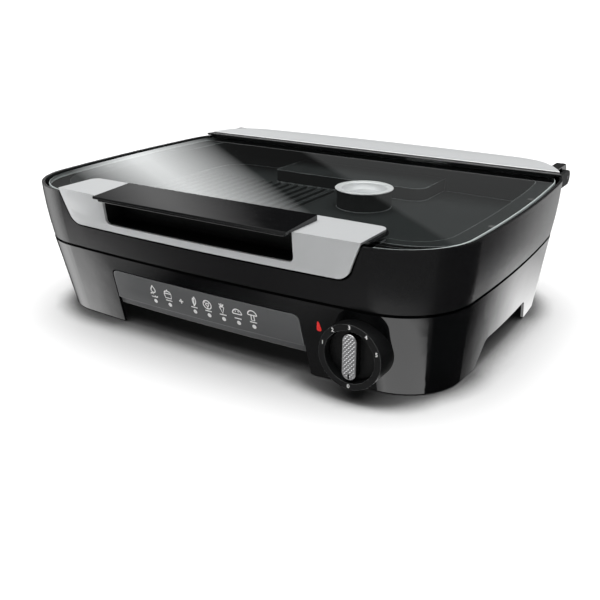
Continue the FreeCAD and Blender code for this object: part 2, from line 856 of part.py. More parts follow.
def housingScrews():
    screws = []
    top = neck_top + s.reflector_sheet + s.screw_bite
    for x, y in post_places:
        head = cylinder("screw_head", s.screw_head_radius, s.screw_head_height, x, y,
                        s.cover_height - s.screw_head_height)
        shank = cylinder("screw_shank", s.screw_radius, top - s.cover_height, x, y, s.cover_height)
        screws.append(fused("screw", [head, shank]))
    keep("housing_screws", group("screws_group", screws))


# ---- upper housing --------------------------------------------------------------------------

def basinPath(sketch, grow):
    """The opening of the cooking basin, grown outwards."""
    low = -(basin_front + grow)
    high = basin_rear + grow
    drawBowed(sketch, basin_half + grow, (high - low) / 2, s.basin_corner_radius + grow,
              (high + low) / 2)


def bezelPath(sketch, gap):
    """The front bezel seen from the front, grown by a gap; it runs out over the rim."""
    rise = bezel_top - bezel_bottom
    slope = (bezel_half - bezel_foot) / rise
    over = s.bezel_gap * 4
    top_half = bezel_half + gap + slope * over
    foot_half = bezel_foot + gap
    drawPath(sketch, [
        (-foot_half, bezel_bottom - gap, s.bezel_corner_radius + gap),
        (foot_half, bezel_bottom - gap, s.bezel_corner_radius + gap),
        (top_half, bezel_top + over),
        (-top_half, bezel_top + over),
    ])


def upperHousing():
    skin = housingSkin("housing_skin")
    room = housingSkin("housing_room", -s.housing_wall)
    ledge = cut("ledge", box("ledge_slab", -far, far, -far, far, ledge_bottom, ledge_top),
                prism("ledge_opening", "XY", s.seam_height, s.rim_height, basinPath,
                      s.basin_wall + s.small_gap * 3))
    well_side = well_half + s.housing_wall
    well = box("well_block", -well_side, well_side, -far, -(well_rear - s.housing_wall),
               well_floor - s.housing_wall, ledge_top)
    kept = [ledge, well]
    for x, y in post_places:
        kept.append(cylinder("housing_post", s.post_radius, ledge_bottom - post_seat, x, y, post_seat))
    hollow = cut("housing_hollow", room, fused("housing_kept", kept))
    shell = cut("housing_shell", skin, hollow)
    well_room = common("well_room", [
        housingSkin("well_skin", -s.housing_wall),
        box("well_space", -well_half, well_half, -far, -well_rear, well_floor, far),
    ])
    holes = [well_room, prism("bezel_window", "XZ", -far, -well_rear - s.housing_wall, bezelPath,
                              s.bezel_gap)]
    for x, y in post_places:
        holes.append(cylinder("housing_post_bore", s.screw_radius, s.screw_bite - s.small_gap / 3, x, y,
                              post_seat))
    keep("upper_housing", cut("upper_housing_cut", shell, fused("housing_holes", holes)))


def pads(label, places, low, high, radius):
    discs = []
    for x, y in places:
        discs.append(cylinder("pad", radius, high - low, x, y, low))
    keep(label, group(label + "_group", discs))


ledge_side = (basin_half + s.basin_wall + flange_half) / 2
ledge_rear = (basin_rear + s.basin_wall + flange_rear) / 2
ledge_front = (basin_front + s.basin_wall + flange_front) / 2 + s.small_gap


def platePads():
    places = fourWays(ledge_side, basin_front / 2)
    places += [(basin_half / 2, ledge_rear), (-basin_half / 2, ledge_rear)]
    places += [(basin_half / 2, -ledge_front), (-basin_half / 2, -ledge_front)]
    pads("plate_pads", places, ledge_top, flange_bottom, s.plate_pad_radius)


def lidPads():
    places = fourWays(ledge_side, basin_front * 0.4)
    pads("lid_pads", places, flange_top, glass_bottom - s.small_gap, s.plate_pad_radius)


# ---- grill plate and what heats it ----------------------------------------------------------

def basinLevel(grow, height, slope):
    low = -(basin_front + grow - slope)
    high = basin_rear + grow - slope
    return (basin_half + grow - slope, (high - low) / 2, s.basin_corner_radius + grow - slope,
            height, (high + low) / 2)


def grillPlate():
    plate = newBody("grill_plate")
    lofted(plate, "Additive", [basinLevel(s.basin_wall, floor_bottom, s.basin_slope),
                               basinLevel(s.basin_wall, flange_bottom + s.flange_thickness / 2, 0)])
    padded(plate, "XY", flange_bottom, flange_top, drawBowed, flange_half,
           (flange_rear + flange_front) / 2, s.flange_corner_radius,
           (flange_rear - flange_front) / 2)
    lofted(plate, "Subtractive", [basinLevel(0, floor_top, s.basin_slope), basinLevel(0, flange_top, 0)])
    padded(plate, "XY", floor_top - s.small_gap, floor_top + s.step_height, stepPath)
    padded(plate, "XY", floor_top - s.small_gap, floor_top + s.boss_height, drawCircle, s.boss_x, boss_y,
           s.boss_radius)
    pocketed(plate, "XY", floor_top + s.boss_bore_floor, floor_top + s.boss_height, drawCircle, s.boss_x,
             boss_y, boss_bore)
    rib = padded(plate, "XY", floor_top - s.small_gap, floor_top + s.rib_height, drawRectangle,
                 rib_first_x, rib_first_x + s.rib_width, -rib_front, rib_rear,
                 s.rib_width * 0.48)
    repeated(plate, rib, "H_Axis", s.rib_pitch, s.rib_count)
    slot = pocketed(plate, "XY", floor_bottom, floor_top, drawRectangle, drain_first_x,
                    drain_first_x + s.drain_length, drain_y - s.drain_width / 2,
                    drain_y + s.drain_width / 2, s.drain_width * 0.48)
    repeated(plate, slot, "H_Axis", s.drain_pitch, s.drain_count)


def stepPath(sketch):
    """The raised step along the rear wall, with rounded front corners."""
    rear = basin_rear - s.basin_slope + s.basin_wall / 2
    drawPath(sketch, [
        (-s.step_left, step_front, s.step_left_radius),
        (s.step_right, step_front, s.step_right_radius),
        (s.step_right, rear),
        (-s.step_left, rear),
    ])


def spiceCup():
    cup = newBody("spice_cup")
    rim_z = cup_depth + s.cup_sheet
    flange = s.boss_radius + s.cup_overhang
    outer_mouth = cup_mouth + s.cup_sheet
    outer_base = cup_base + s.cup_sheet
    revolved(cup, [
        (0, 0),
        (outer_base, 0, s.cup_sheet * 2),
        (outer_mouth, rim_z - s.cup_sheet),
        (flange, rim_z - s.cup_sheet),
        (flange, rim_z),
        (cup_mouth, rim_z),
        (cup_base, s.cup_sheet, s.cup_sheet),
        (0, s.cup_sheet),
    ])
    seat = floor_top + s.boss_height + s.small_gap
    moveTo(cup, s.boss_x, boss_y, seat + s.cup_sheet - rim_z)


def heatingElement():
    runs = [-heat_front + heat_pitch * i for i in range(4)]
    route = [
        (heat_right, heat_end),
        (heat_right, runs[0], heat_bend),
        (-heat_left, runs[0], heat_bend),
        (-heat_left, runs[1], heat_bend),
        (heat_inner, runs[1], heat_bend),
        (heat_inner, runs[2], heat_bend),
        (-heat_left, runs[2], heat_bend),
        (-heat_left, runs[3], heat_bend),
        (heat_inner, runs[3], heat_bend),
        (heat_inner, heat_end),
    ]
    element = newBody("heating_element")
    spine = sketchOn(element, "XY", tube_z)
    drawPath(spine, route, closed=False)
    section = sketchOn(element, "XZ", -heat_end)
    drawCircle(section, heat_right, tube_z, s.tube_radius)
    pipe = element.newObject("PartDesign::AdditivePipe", "element_pipe")
    pipe.Profile = section
    pipe.Spine = spine
    element.Tip = pipe
    ends = []
    for x in (heat_right, heat_inner):
        ends.append(cylinder("terminal_pin", s.tube_radius / 2, s.clip_width, x, heat_end, tube_z, "y"))
    keep("element_terminals", group("terminals_group", ends))


def elementClips():
    clips = []
    low, high = -heat_front, -heat_front + heat_pitch * 2
    for x in (-heat_inner / 2, heat_inner / 2):
        for y in (low, high):
            block = box("clip_block", x - s.clip_width / 2, x + s.clip_width / 2, y - s.tube_radius * 1.8,
                        y + s.tube_radius * 1.8, dish_floor, tube_z)
            groove = cylinder("clip_groove", s.tube_radius, s.clip_width * 2, x - s.clip_width, y, tube_z,
                              "x")
            clips.append(cut("clip", block, groove))
    keep("element_clips", group("clips_group", clips))


def reflectorTray():
    """A bright sheet dish under the element; its flange lies on the neck of the lower housing."""
    tray = newBody("reflector_tray")
    flange = -(s.neck_inset + s.small_gap)
    dish = -(s.neck_inset + s.reflector_lip)
    inner = dish - s.reflector_sheet
    top = neck_top + s.reflector_sheet
    lofted(tray, "Additive", [outline("shoulder", flange, neck_top), outline("shoulder", flange, top)])
    lofted(tray, "Additive", [outline("shoulder", dish - s.reflector_drop, dish_floor - s.reflector_sheet),
                              outline("shoulder", dish, neck_top)])
    lofted(tray, "Subtractive", [outline("shoulder", inner - s.reflector_drop, dish_floor),
                                 outline("shoulder", inner, top)])
    slot_right = drain_first_x + s.drain_pitch * s.drain_count
    pocketed(tray, "XY", dish_floor - s.reflector_sheet, dish_floor, drawRectangle,
             drain_first_x - s.drain_width, slot_right, drain_y - s.drain_width * 2,
             drain_y + s.drain_width * 2, s.drain_width)
    for x, y in post_places:
        pocketed(tray, "XY", neck_top, top, drawCircle, x, y, s.screw_radius + s.screw_hole_gap)


def thermalFuse():
    radius = s.tube_radius
    length = s.clip_width * 2
    keep("thermal_fuse", cylinder("fuse", radius, length, -length / 2, drain_y + s.drain_width * 6,
                                  dish_floor - s.reflector_sheet - radius, "x"))


# ---- drip drawer ----------------------------------------------------------------------------

def dripTray():
    tray = newBody("drip_tray")
    front, rear = -tray_front, tray_rear
    padded(tray, "XY", tray_bottom, tray_top, drawRectangle, tray_left, tray_right, front, rear,
           s.tray_corner_radius)
    padded(tray, "XY", tray_top - s.tray_wall, tray_top, drawRectangle, tray_left - s.tray_flange,
           tray_right + s.tray_flange, front, rear, s.tray_flange)
    pocketed(tray, "XY", tray_bottom + s.tray_wall, tray_top, drawRectangle, tray_left + s.tray_wall,
             tray_right - s.tray_wall, front + s.tray_wall, rear - s.tray_wall,
             s.tray_corner_radius - s.tray_wall)


def drawerFront():
    """The panel follows the bowed and sloping face of the lower housing; its lip is set back."""
    window = prism("panel_window", "XZ", -far, -half_depth / 2, notchPath, s.panel_gap)
    face = common("panel_face", [
        window,
        baseSkin("panel_skin"),
        box("panel_band", -far, far, -far, far, s.panel_bottom, s.rim_height),
    ])
    lip = common("panel_lip", [
        prism("lip_window", "XZ", -far, -half_depth / 2, notchPath, s.panel_gap),
        baseSkin("lip_skin", -s.panel_lip_setback),
        box("lip_band", -far, far, -far, far, s.panel_lip_bottom, s.panel_bottom),
    ])
    solid = fused("panel_solid", [face, lip])
    shell = cut("panel_shell", solid, baseSkin("panel_inner", -(s.panel_thickness + s.base_wall / 2)))
    lugs = []
    for side in (-1, 1):
        x = drawer_centre + (tray_right - tray_left) / 3 * side
        lugs.append(box("panel_lug", x - s.clip_width / 2, x + s.clip_width / 2, -half_depth, -tray_front,
                        s.panel_bottom + s.tray_wall * 2, tray_top - s.tray_wall * 3))
    inside = common("panel_lugs", [fused("lugs", lugs), baseSkin("lug_skin", -s.panel_thickness)])
    keep("drawer_front", fused("drawer_front_fuse", [shell, inside]))


def drawerRails():
    front, rear = s.tray_flange - tray_front, tray_rear
    gap = s.small_gap * 3
    for label, side, edge in (("drawer_rail_left", -1, tray_left), ("drawer_rail_right", 1, tray_right)):
        near = edge + gap * side
        web_far = near + s.rail_thickness * side
        foot_far = near + s.clip_width * side
        web = sorted((near, web_far), key=lambda size: size.value)
        foot = sorted((near, foot_far), key=lambda size: size.value)
        keep(label, fused(label + "_fuse", [
            box("rail_web", *web, front, rear, cover_top, rail_top),
            box("rail_foot", *foot, front, rear, cover_top, cover_top + s.rail_thickness),
        ]))


# ---- temperature dial, thermostat and pilot light -------------------------------------------

def dialRing():
    """A fixed ring with a recess for the knob; its back follows the sloping wall."""
    blank = cylinder("ring_blank", s.ring_radius, dial_face - half_depth / 2, dial_x, -half_depth / 2,
                     s.dial_z, "front")
    bore = cylinder("ring_bore", ring_bore, half_depth, dial_x, -(knob_back - s.small_gap),
                    s.dial_z, "front")
    hub_bore = cylinder("ring_hub_bore", s.bush_radius + s.small_gap * 3, half_depth * 2, dial_x,
                        0, s.dial_z, "front")
    keep("dial_ring", cut("dial_ring_cut", blank, fused("ring_holes", [bore, hub_bore,
                                                                       baseSkin("ring_seat")])))


def knob():
    disc = cylinder("knob_disc", knob_radius, s.knob_thickness, dial_x, -knob_back, s.dial_z, "front")
    hub_rear = knob_back - s.knob_hub_length
    hub = cylinder("knob_hub", s.bush_radius, s.knob_hub_length, dial_x, -hub_rear, s.dial_z, "front")
    socket = cylinder("knob_socket", s.shaft_radius, s.knob_hub_length, dial_x, -hub_rear, s.dial_z,
                      "front")
    keep("knob_body", cut("knob_body_cut", fused("knob_blank", [disc, hub]), socket))
    grip = newBody("knob_grip")
    half_length, half = knob_radius - s.grip_end_gap, s.grip_width / 2
    padded(grip, "XZ", -(dial_face + s.small_gap), -knob_front, drawRectangle, dial_x - half,
           dial_x + half, s.dial_z - half_length, s.dial_z + half_length, half * 0.96)
    shaft_rear = bracket_y - s.thermostat_depth / 2
    keep("thermostat_shaft", cylinder("shaft", s.shaft_radius, knob_back - shaft_rear, dial_x,
                                      -shaft_rear, s.dial_z, "front"))


def thermostat():
    bracket_rear = bracket_y - s.bracket_sheet
    half = s.thermostat_width / 2
    block = box("thermostat_block", dial_x - half, dial_x + half, -bracket_rear,
                -(bracket_rear - s.thermostat_depth), s.dial_z - thermostat_half,
                s.dial_z + thermostat_half)
    bush = cylinder("thermostat_bush", s.bush_radius, s.bracket_sheet * 4, dial_x, -bracket_rear,
                    s.dial_z, "front")
    bore = cylinder("thermostat_bore", s.shaft_radius + s.shaft_fit, half_depth, dial_x,
                    -(bracket_y - s.thermostat_depth / 2 - s.small_gap), s.dial_z, "front")
    keep("thermostat_body", cut("thermostat_cut", fused("thermostat_blank", [block, bush]), bore))
    plate = box("bracket_plate", dial_x - half, dial_x + half, -bracket_y, -bracket_rear, cover_top,
                s.dial_z + thermostat_half * 1.2)
    foot = box("bracket_foot", dial_x - half, dial_x + half, -bracket_y, -(bracket_y - s.clip_width),
               cover_top, cover_top + s.bracket_sheet)
    hole = cylinder("bracket_hole", s.bush_radius, half_depth, dial_x, -half_depth / 2, s.dial_z, "front")
    keep("thermostat_bracket", cut("bracket_cut", fused("bracket_blank", [plate, foot]), hole))


def pilotLight():
    lens = common("lens_common", [
        prism("lens_prism", "XZ", -far, -(half_depth - s.skirt_inset_front), lensPath, Size.of(0)),
        baseSkin("lens_skin", s.small_gap),
    ])
    keep("pilot_lens", cut("pilot_lens_cut", lens, baseSkin("lens_back", -s.base_wall * 2)))
    keep("pilot_lamp", common("lamp_common", [
        cylinder("lamp", s.lens_width / 2, s.lamp_length * 3, lens_x, -bracket_y, lens_z, "front"),
        baseSkin("lamp_skin", -(s.base_wall * 2 + s.small_gap)),
    ]))
    carrier = box("lamp_carrier_plate", lens_x - s.lens_width, dial_x - s.thermostat_width / 2,
                  -bracket_y, -(bracket_y - s.bracket_sheet), lens_z - s.lens_width,
                  lens_z + s.lens_width)
    keep("lamp_carrier", carrier)


# ---- mains inlet and terminal block ---------------------------------------------------------

def mainsInlet():
    inlet = newBody("mains_inlet")
    half_w, half_h = s.inlet_width / 2, s.inlet_height / 2
    padded(inlet, "XZ", inlet_rear - s.inlet_depth, inlet_rear, drawRectangle, inlet_x - half_w,
           inlet_x + half_w, s.inlet_z - half_h, s.inlet_z + half_h, s.base_wall)
    half_w, half_h = s.socket_width / 2, s.socket_height / 2
    socket_floor = inlet_rear - s.socket_depth
    mouth = sketchOn(inlet, "XZ", -inlet_rear)
    drawRectangle(mouth, inlet_x - half_w, inlet_x + half_w, s.inlet_z - half_h, s.inlet_z + half_h,
                  s.base_wall)
    pocket = inlet.newObject("PartDesign::Pocket", "inlet_socket")
    pocket.Profile = mouth
    pocket.Reversed = True
    bind(pocket, "Length", s.socket_depth)
    inlet.Tip = pocket
    cuts.append(pocket)
    pins = []
    for column, row in ((-1, -0.3), (0, 0.3), (1, -0.3)):
        pins.append(cylinder("inlet_pin", s.inlet_pin_radius, s.socket_depth - s.base_wall,
                             inlet_x + s.pin_pitch * column, socket_floor,
                             s.inlet_z + s.pin_pitch * row, "y"))
    keep("inlet_pins", group("inlet_pins_group", pins))


def terminalBlock():
    rear = half_depth - s.skirt_inset_front - s.clip_width
    width = s.clip_width * 3
    block = box("terminal_box", -width / 2, width / 2, rear - s.clip_width, rear, cover_top,
                cover_top + s.clip_width)
    holes = []
    for column in (-1, 0, 1):
        holes.append(cylinder("terminal_hole", s.screw_radius, s.clip_width / 2, s.clip_width * column, rear
                              - s.clip_width / 2, cover_top + s.clip_width / 2))
    keep("terminal_block", cut("terminal_cut", block, fused("terminal_holes", holes)))


# ---- glass lid ------------------------------------------------------------------------------

def lidGlass():
    glass = newBody("lid_glass")
    padded(glass, "XY", glass_bottom, glass_top, drawBowed, half_width - s.glass_inset,
           half_depth - s.glass_inset, s.rim_corner_radius - s.glass_inset)
    side = well_half
    pocketed(glass, "XY", glass_bottom, glass_top, drawRectangle, -side, side, -half_depth * 1.2,
             -glass_front, s.bezel_rear_radius)
    pocketed(glass, "XY", glass_bottom, glass_top, drawRectangle, -half_width, half_width, glass_rear,
             half_depth)


def behind(name, front, low, high):
    return box(name, -far, far, front, far, low, high)


def bowedPrism(name, grow, low, high):
    return prism(name, "XY", low, high, drawBowed, half_width + grow, half_depth + grow,
                 s.rim_corner_radius + grow)


def armPath(sketch):
    """The hinge arm: back over the rim, then down to the barrel behind it."""
    near, back = hinge_y - s.hinge_barrel_radius, hinge_y + s.hinge_barrel_radius
    drawPath(sketch, [
        (lid_rear, carrier_bottom),
        (near - s.hinge_arm_height, carrier_bottom),
        (near, hinge_z + s.hinge_arm_height),
        (near, hinge_z),
        (back, hinge_z),
        (back, carrier_top, s.hinge_barrel_radius * 0.8),
        (lid_rear, carrier_top),
    ])


def hingeCarrier():
    """Black carrier across the back of the lid, with the two hinge arms moulded on."""
    parts = [
        common("carrier_plate", [bowedPrism("carrier_outline", -s.small_gap * 2, carrier_bottom, carrier_top),
                                 behind("carrier_behind", carrier_front, carrier_bottom, carrier_top)]),
        common("carrier_pad", [bowedPrism("pad_outline", -(s.glass_inset + s.carrier_gap), glass_top,
                                          carrier_bottom),
                               behind("pad_behind", carrier_front, glass_top, carrier_bottom)]),
    ]
    half = s.hinge_arm_width / 2
    for side in (-1, 1):
        x = hinge_x * side
        parts.append(prism("arm", "YZ", x - half, x + half, armPath))
        parts.append(cylinder("arm_barrel", s.hinge_barrel_radius, s.hinge_arm_width, x - half, hinge_y,
                              hinge_z, "x"))
    bore = cylinder("arm_bore", s.hinge_pin_radius + s.hinge_pin_fit, far * 2, -far, hinge_y, hinge_z,
                    "x")
    keep("lid_hinge_carrier", cut("carrier_cut", fused("carrier_fuse", parts), bore))


def trimSlope(sketch):
    rear_z = carrier_top + s.trim_rear_rise
    front_y = carrier_front
    drawPath(sketch, [
        (front_y, carrier_top + s.trim_front_rise),
        (lid_rear, carrier_top + s.trim_front_rise),
        (trim_slope_end, rear_z),
        (trim_slope_end, rear_z * 1.1),
        (front_y, rear_z * 1.1),
    ])


def rearTrim():
    blank = common("trim_blank", [
        bowedPrism("trim_outline", -(s.small_gap * 2 + s.trim_border), carrier_top,
                   carrier_top + s.trim_rear_rise),
        behind("trim_behind", lid_rear, carrier_top, carrier_top + s.trim_rear_rise),
    ])
    keep("lid_rear_trim", cut("trim_cut", blank, prism("trim_slope", "YZ", -far, far, trimSlope)))


def bezelTopPath(sketch, grow):
    half = bezel_half + grow
    drawPath(sketch, [
        (-half, -far),
        (half, -far),
        (half, -(bezel_rear - grow), s.bezel_rear_radius),
        (-half, -(bezel_rear - grow), s.bezel_rear_radius),
    ])


def bezelLevels(grow, top):
    low = outline("sill", s.bezel_proud + grow)
    return [low, outline("belly", s.bezel_proud + grow), outline("rim", s.bezel_proud + grow, top)]


def recessPath(sketch, border):
    """The finger opening seen from the front; it runs out over the bezel."""
    half = s.recess_half_width + border
    corner = s.recess_corner_radius + border
    drawPath(sketch, [
        (-half, recess_bottom - border, corner),
        (half, recess_bottom - border, corner),
        (half, s.rim_height * 2),
        (-half, s.rim_height * 2),
    ])


def lidBezel():
    """A sheet bent over the rim: a flat top behind the fold and a bowed, sloping face in front."""
    face = common("bezel_blank", [
        bowedLoft("bezel_skin", bezelLevels(0, bezel_top), ruled=False),
        prism("bezel_face", "XZ", -far, 0, bezelPath, Size.of(0)),
        prism("bezel_top_outline", "XY", s.seam_height, bezel_top, bezelTopPath, Size.of(0)),
    ])
    inner = common("bezel_inner", [
        bowedLoft("bezel_inner_skin", bezelLevels(-s.bezel_sheet, bezel_top), ruled=False),
        box("bezel_under", -far, far, -far, far, 0, under_top),
    ])
    window = prism("bezel_opening", "XZ", -far, -(half_depth - s.recess_wall - s.bezel_sheet * 2),
                   recessPath, Size.of(0))
    holes = [inner, window]
    for x in handle_screw_places:
        holes.append(cylinder("bezel_screw_hole", s.screw_radius, bezel_top, x, -handle_screw_y, 0))
    keep("lid_bezel", cut("lid_bezel_cut", face, fused("bezel_holes", holes)))


def bezelCarrier():
    """The black frame between the glass and the metal bezel."""
    carrier = newBody("bezel_carrier")
    half = bezel_half + s.bezel_under_border
    rear = bezel_rear - s.bezel_under_border
    front = half_depth - s.bezel_sheet * 4
    padded(carrier, "XY", glass_top, under_top, drawRectangle, -half, half, -front, -rear,
           s.bezel_rear_radius)
    notch = s.recess_half_width + s.recess_wall
    pocketed(carrier, "XY", glass_top, under_top, drawRectangle, -notch, notch, -half_depth,
             -recess_rear)


def handleRecess():
    """The black finger box behind the opening of the bezel, open to the front."""
    side = s.recess_half_width + s.recess_wall
    blank = common("recess_blank", [
        prism("recess_box", "XZ", -far, -recess_rear, recessPath, s.recess_wall),
        box("recess_band", -side, side, -far, -recess_rear, 0, under_top),
        bowedLoft("recess_skin", bezelLevels(-s.bezel_sheet, bezel_top), ruled=False),
    ])
    holes = [common("recess_room", [
        prism("recess_space", "XZ", -far, -(recess_rear + s.recess_wall), recessPath, Size.of(0)),
        box("recess_room_band", -side, side, -far, 0, 0, under_top - s.recess_wall),
    ])]
    for x in handle_screw_places:
        holes.append(cylinder("recess_screw_hole", s.screw_radius, bezel_top, x, -handle_screw_y, 0))
    keep("handle_recess", cut("recess_cut", blank, fused("recess_holes", holes)))


def platePath(sketch):
    drawPath(sketch, [
        (-handle_front, bezel_top),
        (-handle_rear, bezel_top),
        (-handle_rear, bezel_top + s.handle_rear_rise),
        (-handle_front, bezel_top + s.handle_front_rise),
    ])


def handle():
    plate = newBody("handle_plate")
    half = handle_half
    padded(plate, "YZ", -half, half, platePath)
    for x in handle_screw_places:
        pocketed(plate, "XY", bezel_top, bezel_top + s.handle_front_rise, drawCircle, x,
                 -handle_screw_y, s.screw_radius)
    lip = newBody("handle_grip")
    lip_half = s.recess_half_width - s.recess_wall
    lip_rear = half_depth - s.recess_wall - s.bezel_sheet * 2
    padded(lip, "XY", under_top, bezel_top, drawRectangle, -lip_half, lip_half,
           -(handle_front - s.recess_wall), -(lip_rear + s.small_gap), s.handle_corner_radius)
    screws = []
    head_z = under_top - s.recess_wall
    for x in handle_screw_places:
        screws.append(fused("handle_screw", [
            cylinder("handle_screw_head", s.screw_head_radius, s.screw_head_height, x, -handle_screw_y,
                     head_z - s.screw_head_height),
            cylinder("handle_screw_shank", s.screw_radius,
                     bezel_top + s.handle_front_rise - head_z, x, -handle_screw_y, head_z),
        ]))
    keep("handle_screws", group("handle_screws_group", screws))


# ---- rear hinges ----------------------------------------------------------------------------

def hingeBrackets():
    ear_inner = s.hinge_arm_width / 2 + s.hinge_side_gap
    ear_outer = ear_inner + s.hinge_ear_width
    block_rear = hinge_y - s.hinge_barrel_radius - s.hinge_side_gap * 2
    low, high = hinge_z - s.hinge_barrel_radius, hinge_z + s.hinge_barrel_radius
    pins = []
    for label, side in (("hinge_bracket_left", -1), ("hinge_bracket_right", 1)):
        x = hinge_x * side
        parts = [box("hinge_block", x - ear_outer, x + ear_outer, half_depth / 2, block_rear, low,
                     hinge_z + s.hinge_arm_height)]
        for inner in (x - ear_outer, x + ear_inner):
            outer = inner + s.hinge_ear_width
            parts.append(box("hinge_ear", inner, outer, half_depth / 2, hinge_y, low, high))
            parts.append(cylinder("hinge_eye", s.hinge_barrel_radius, s.hinge_ear_width, inner, hinge_y,
                                  hinge_z, "x"))
        bore = cylinder("hinge_bore", s.hinge_pin_radius, ear_outer * 2, x - ear_outer, hinge_y,
                        hinge_z, "x")
        keep(label, cut(label + "_cut", fused(label + "_fuse", parts),
                        fused(label + "_holes", [bore, housingSkin("hinge_seat")])))
        pins.append(cylinder("hinge_pin", s.hinge_pin_radius, ear_outer * 2, x - ear_outer, hinge_y,
                             hinge_z, "x"))
    keep("hinge_pins", group("hinge_pins_group", pins))


for build in (baseHousing, bottomCover, rubberFeet, housingScrews, upperHousing, platePads, lidPads,
              grillPlate, spiceCup, heatingElement, elementClips, reflectorTray, thermalFuse, dripTray,
              drawerFront, drawerRails, dialRing, knob, thermostat, pilotLight, mainsInlet, terminalBlock,
              lidGlass, hingeCarrier, rearTrim, lidBezel, bezelCarrier, handleRecess, handle,
              hingeBrackets):
    build()

doc.recompute()

for thing in doc.Objects:
    if "Invalid" in thing.State or "Error" in thing.State:
        raise RuntimeError(f"{thing.Name} ({thing.Label}) failed: {thing.State}")
for feature in cuts:
    before = feature.Base if feature.TypeId == "Part::Cut" else feature.BaseFeature
    if feature.Shape.Volume > before.Shape.Volume - 0.01:
        raise RuntimeError(f"{feature.Name} ({feature.Label}) cuts nothing")
os.makedirs("parts", exist_ok=True)
for node in nodes:
    if node.Shape.isNull() or not node.Shape.isValid() or not node.Shape.Solids:
        raise RuntimeError(f"{node.Label} has no valid solid")
    node.Shape.exportStep(f"parts/{node.Label}.step")
print(len(nodes), "nodes")
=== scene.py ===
import math
import json
import bpy
import bmesh
from mathutils import Matrix, Vector
from mathutils.bvhtree import BVHTree


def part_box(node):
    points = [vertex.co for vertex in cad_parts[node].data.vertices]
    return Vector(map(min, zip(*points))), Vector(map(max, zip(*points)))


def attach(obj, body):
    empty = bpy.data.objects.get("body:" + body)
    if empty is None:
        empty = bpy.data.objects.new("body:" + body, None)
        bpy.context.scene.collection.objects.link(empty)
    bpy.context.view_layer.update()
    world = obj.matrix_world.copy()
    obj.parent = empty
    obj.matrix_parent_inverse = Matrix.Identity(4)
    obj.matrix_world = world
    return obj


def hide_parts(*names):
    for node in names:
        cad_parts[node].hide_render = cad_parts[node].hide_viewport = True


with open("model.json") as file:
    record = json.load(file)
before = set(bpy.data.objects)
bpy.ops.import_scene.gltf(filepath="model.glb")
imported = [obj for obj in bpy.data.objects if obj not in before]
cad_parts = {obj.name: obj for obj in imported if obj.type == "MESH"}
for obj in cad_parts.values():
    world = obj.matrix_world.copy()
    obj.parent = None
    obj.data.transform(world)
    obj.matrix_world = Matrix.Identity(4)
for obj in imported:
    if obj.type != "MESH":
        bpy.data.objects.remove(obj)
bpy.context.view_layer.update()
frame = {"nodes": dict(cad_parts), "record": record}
nodes = frame["nodes"]
scene = bpy.context.scene
mm = 0.001
print("frame loaded:", len(nodes), "nodes")


# the object is seen from its front right corner, a little above the rim; metres, lens in millimetres
camera = {
    "place": (0.4166, -0.6655, 0.30965),
    "target": (0.0898, -0.148, 0.0657),
    "lens": 47.9,
    "sensor": 36.0,
    "nearest": 0.01,
    "furthest": 60,
}


def placeCamera():
    data = bpy.data.cameras.new("camera")
    data.lens = camera["lens"]
    data.sensor_width = camera["sensor"]
    data.clip_start = camera["nearest"]
    data.clip_end = camera["furthest"]
    seer = bpy.data.objects.new("camera", data)
    scene.collection.objects.link(seer)
    seer.location = camera["place"]
    gaze = Vector(camera["target"]) - Vector(camera["place"])
    seer.rotation_mode = "QUATERNION"
    seer.rotation_quaternion = gaze.to_track_quat("-Z", "Y")
    scene.camera = seer


placeCamera()


# ways to build a shader: sums are Python expressions, and every other node comes from node()

class Value:
    # a socket that takes part in sums
    def __init__(self, wiring, socket):
        self.wiring = wiring
        self.socket = socket

    def sum(self, operation, *terms):
        made = self.wiring.tree.nodes.new("ShaderNodeMath")
        made.operation = operation
        for place, term in zip(made.inputs, terms):
            self.wiring.feed(place, term)
        return Value(self.wiring, made.outputs[0])

    def __add__(self, other):
        return self.sum("ADD", self, other)

    def __radd__(self, other):
        return self.sum("ADD", other, self)

    def __sub__(self, other):
        return self.sum("SUBTRACT", self, other)

    def __rsub__(self, other):
        return self.sum("SUBTRACT", other, self)

    def __mul__(self, other):
        return self.sum("MULTIPLY", self, other)

    def __rmul__(self, other):
        return self.sum("MULTIPLY", other, self)

    def __truediv__(self, other):
        return self.sum("DIVIDE", self, other)

    def __rtruediv__(self, other):
        return self.sum("DIVIDE", other, self)

    def __pow__(self, other):
        return self.sum("POWER", self, other)

    def __rpow__(self, other):
        return self.sum("POWER", other, self)


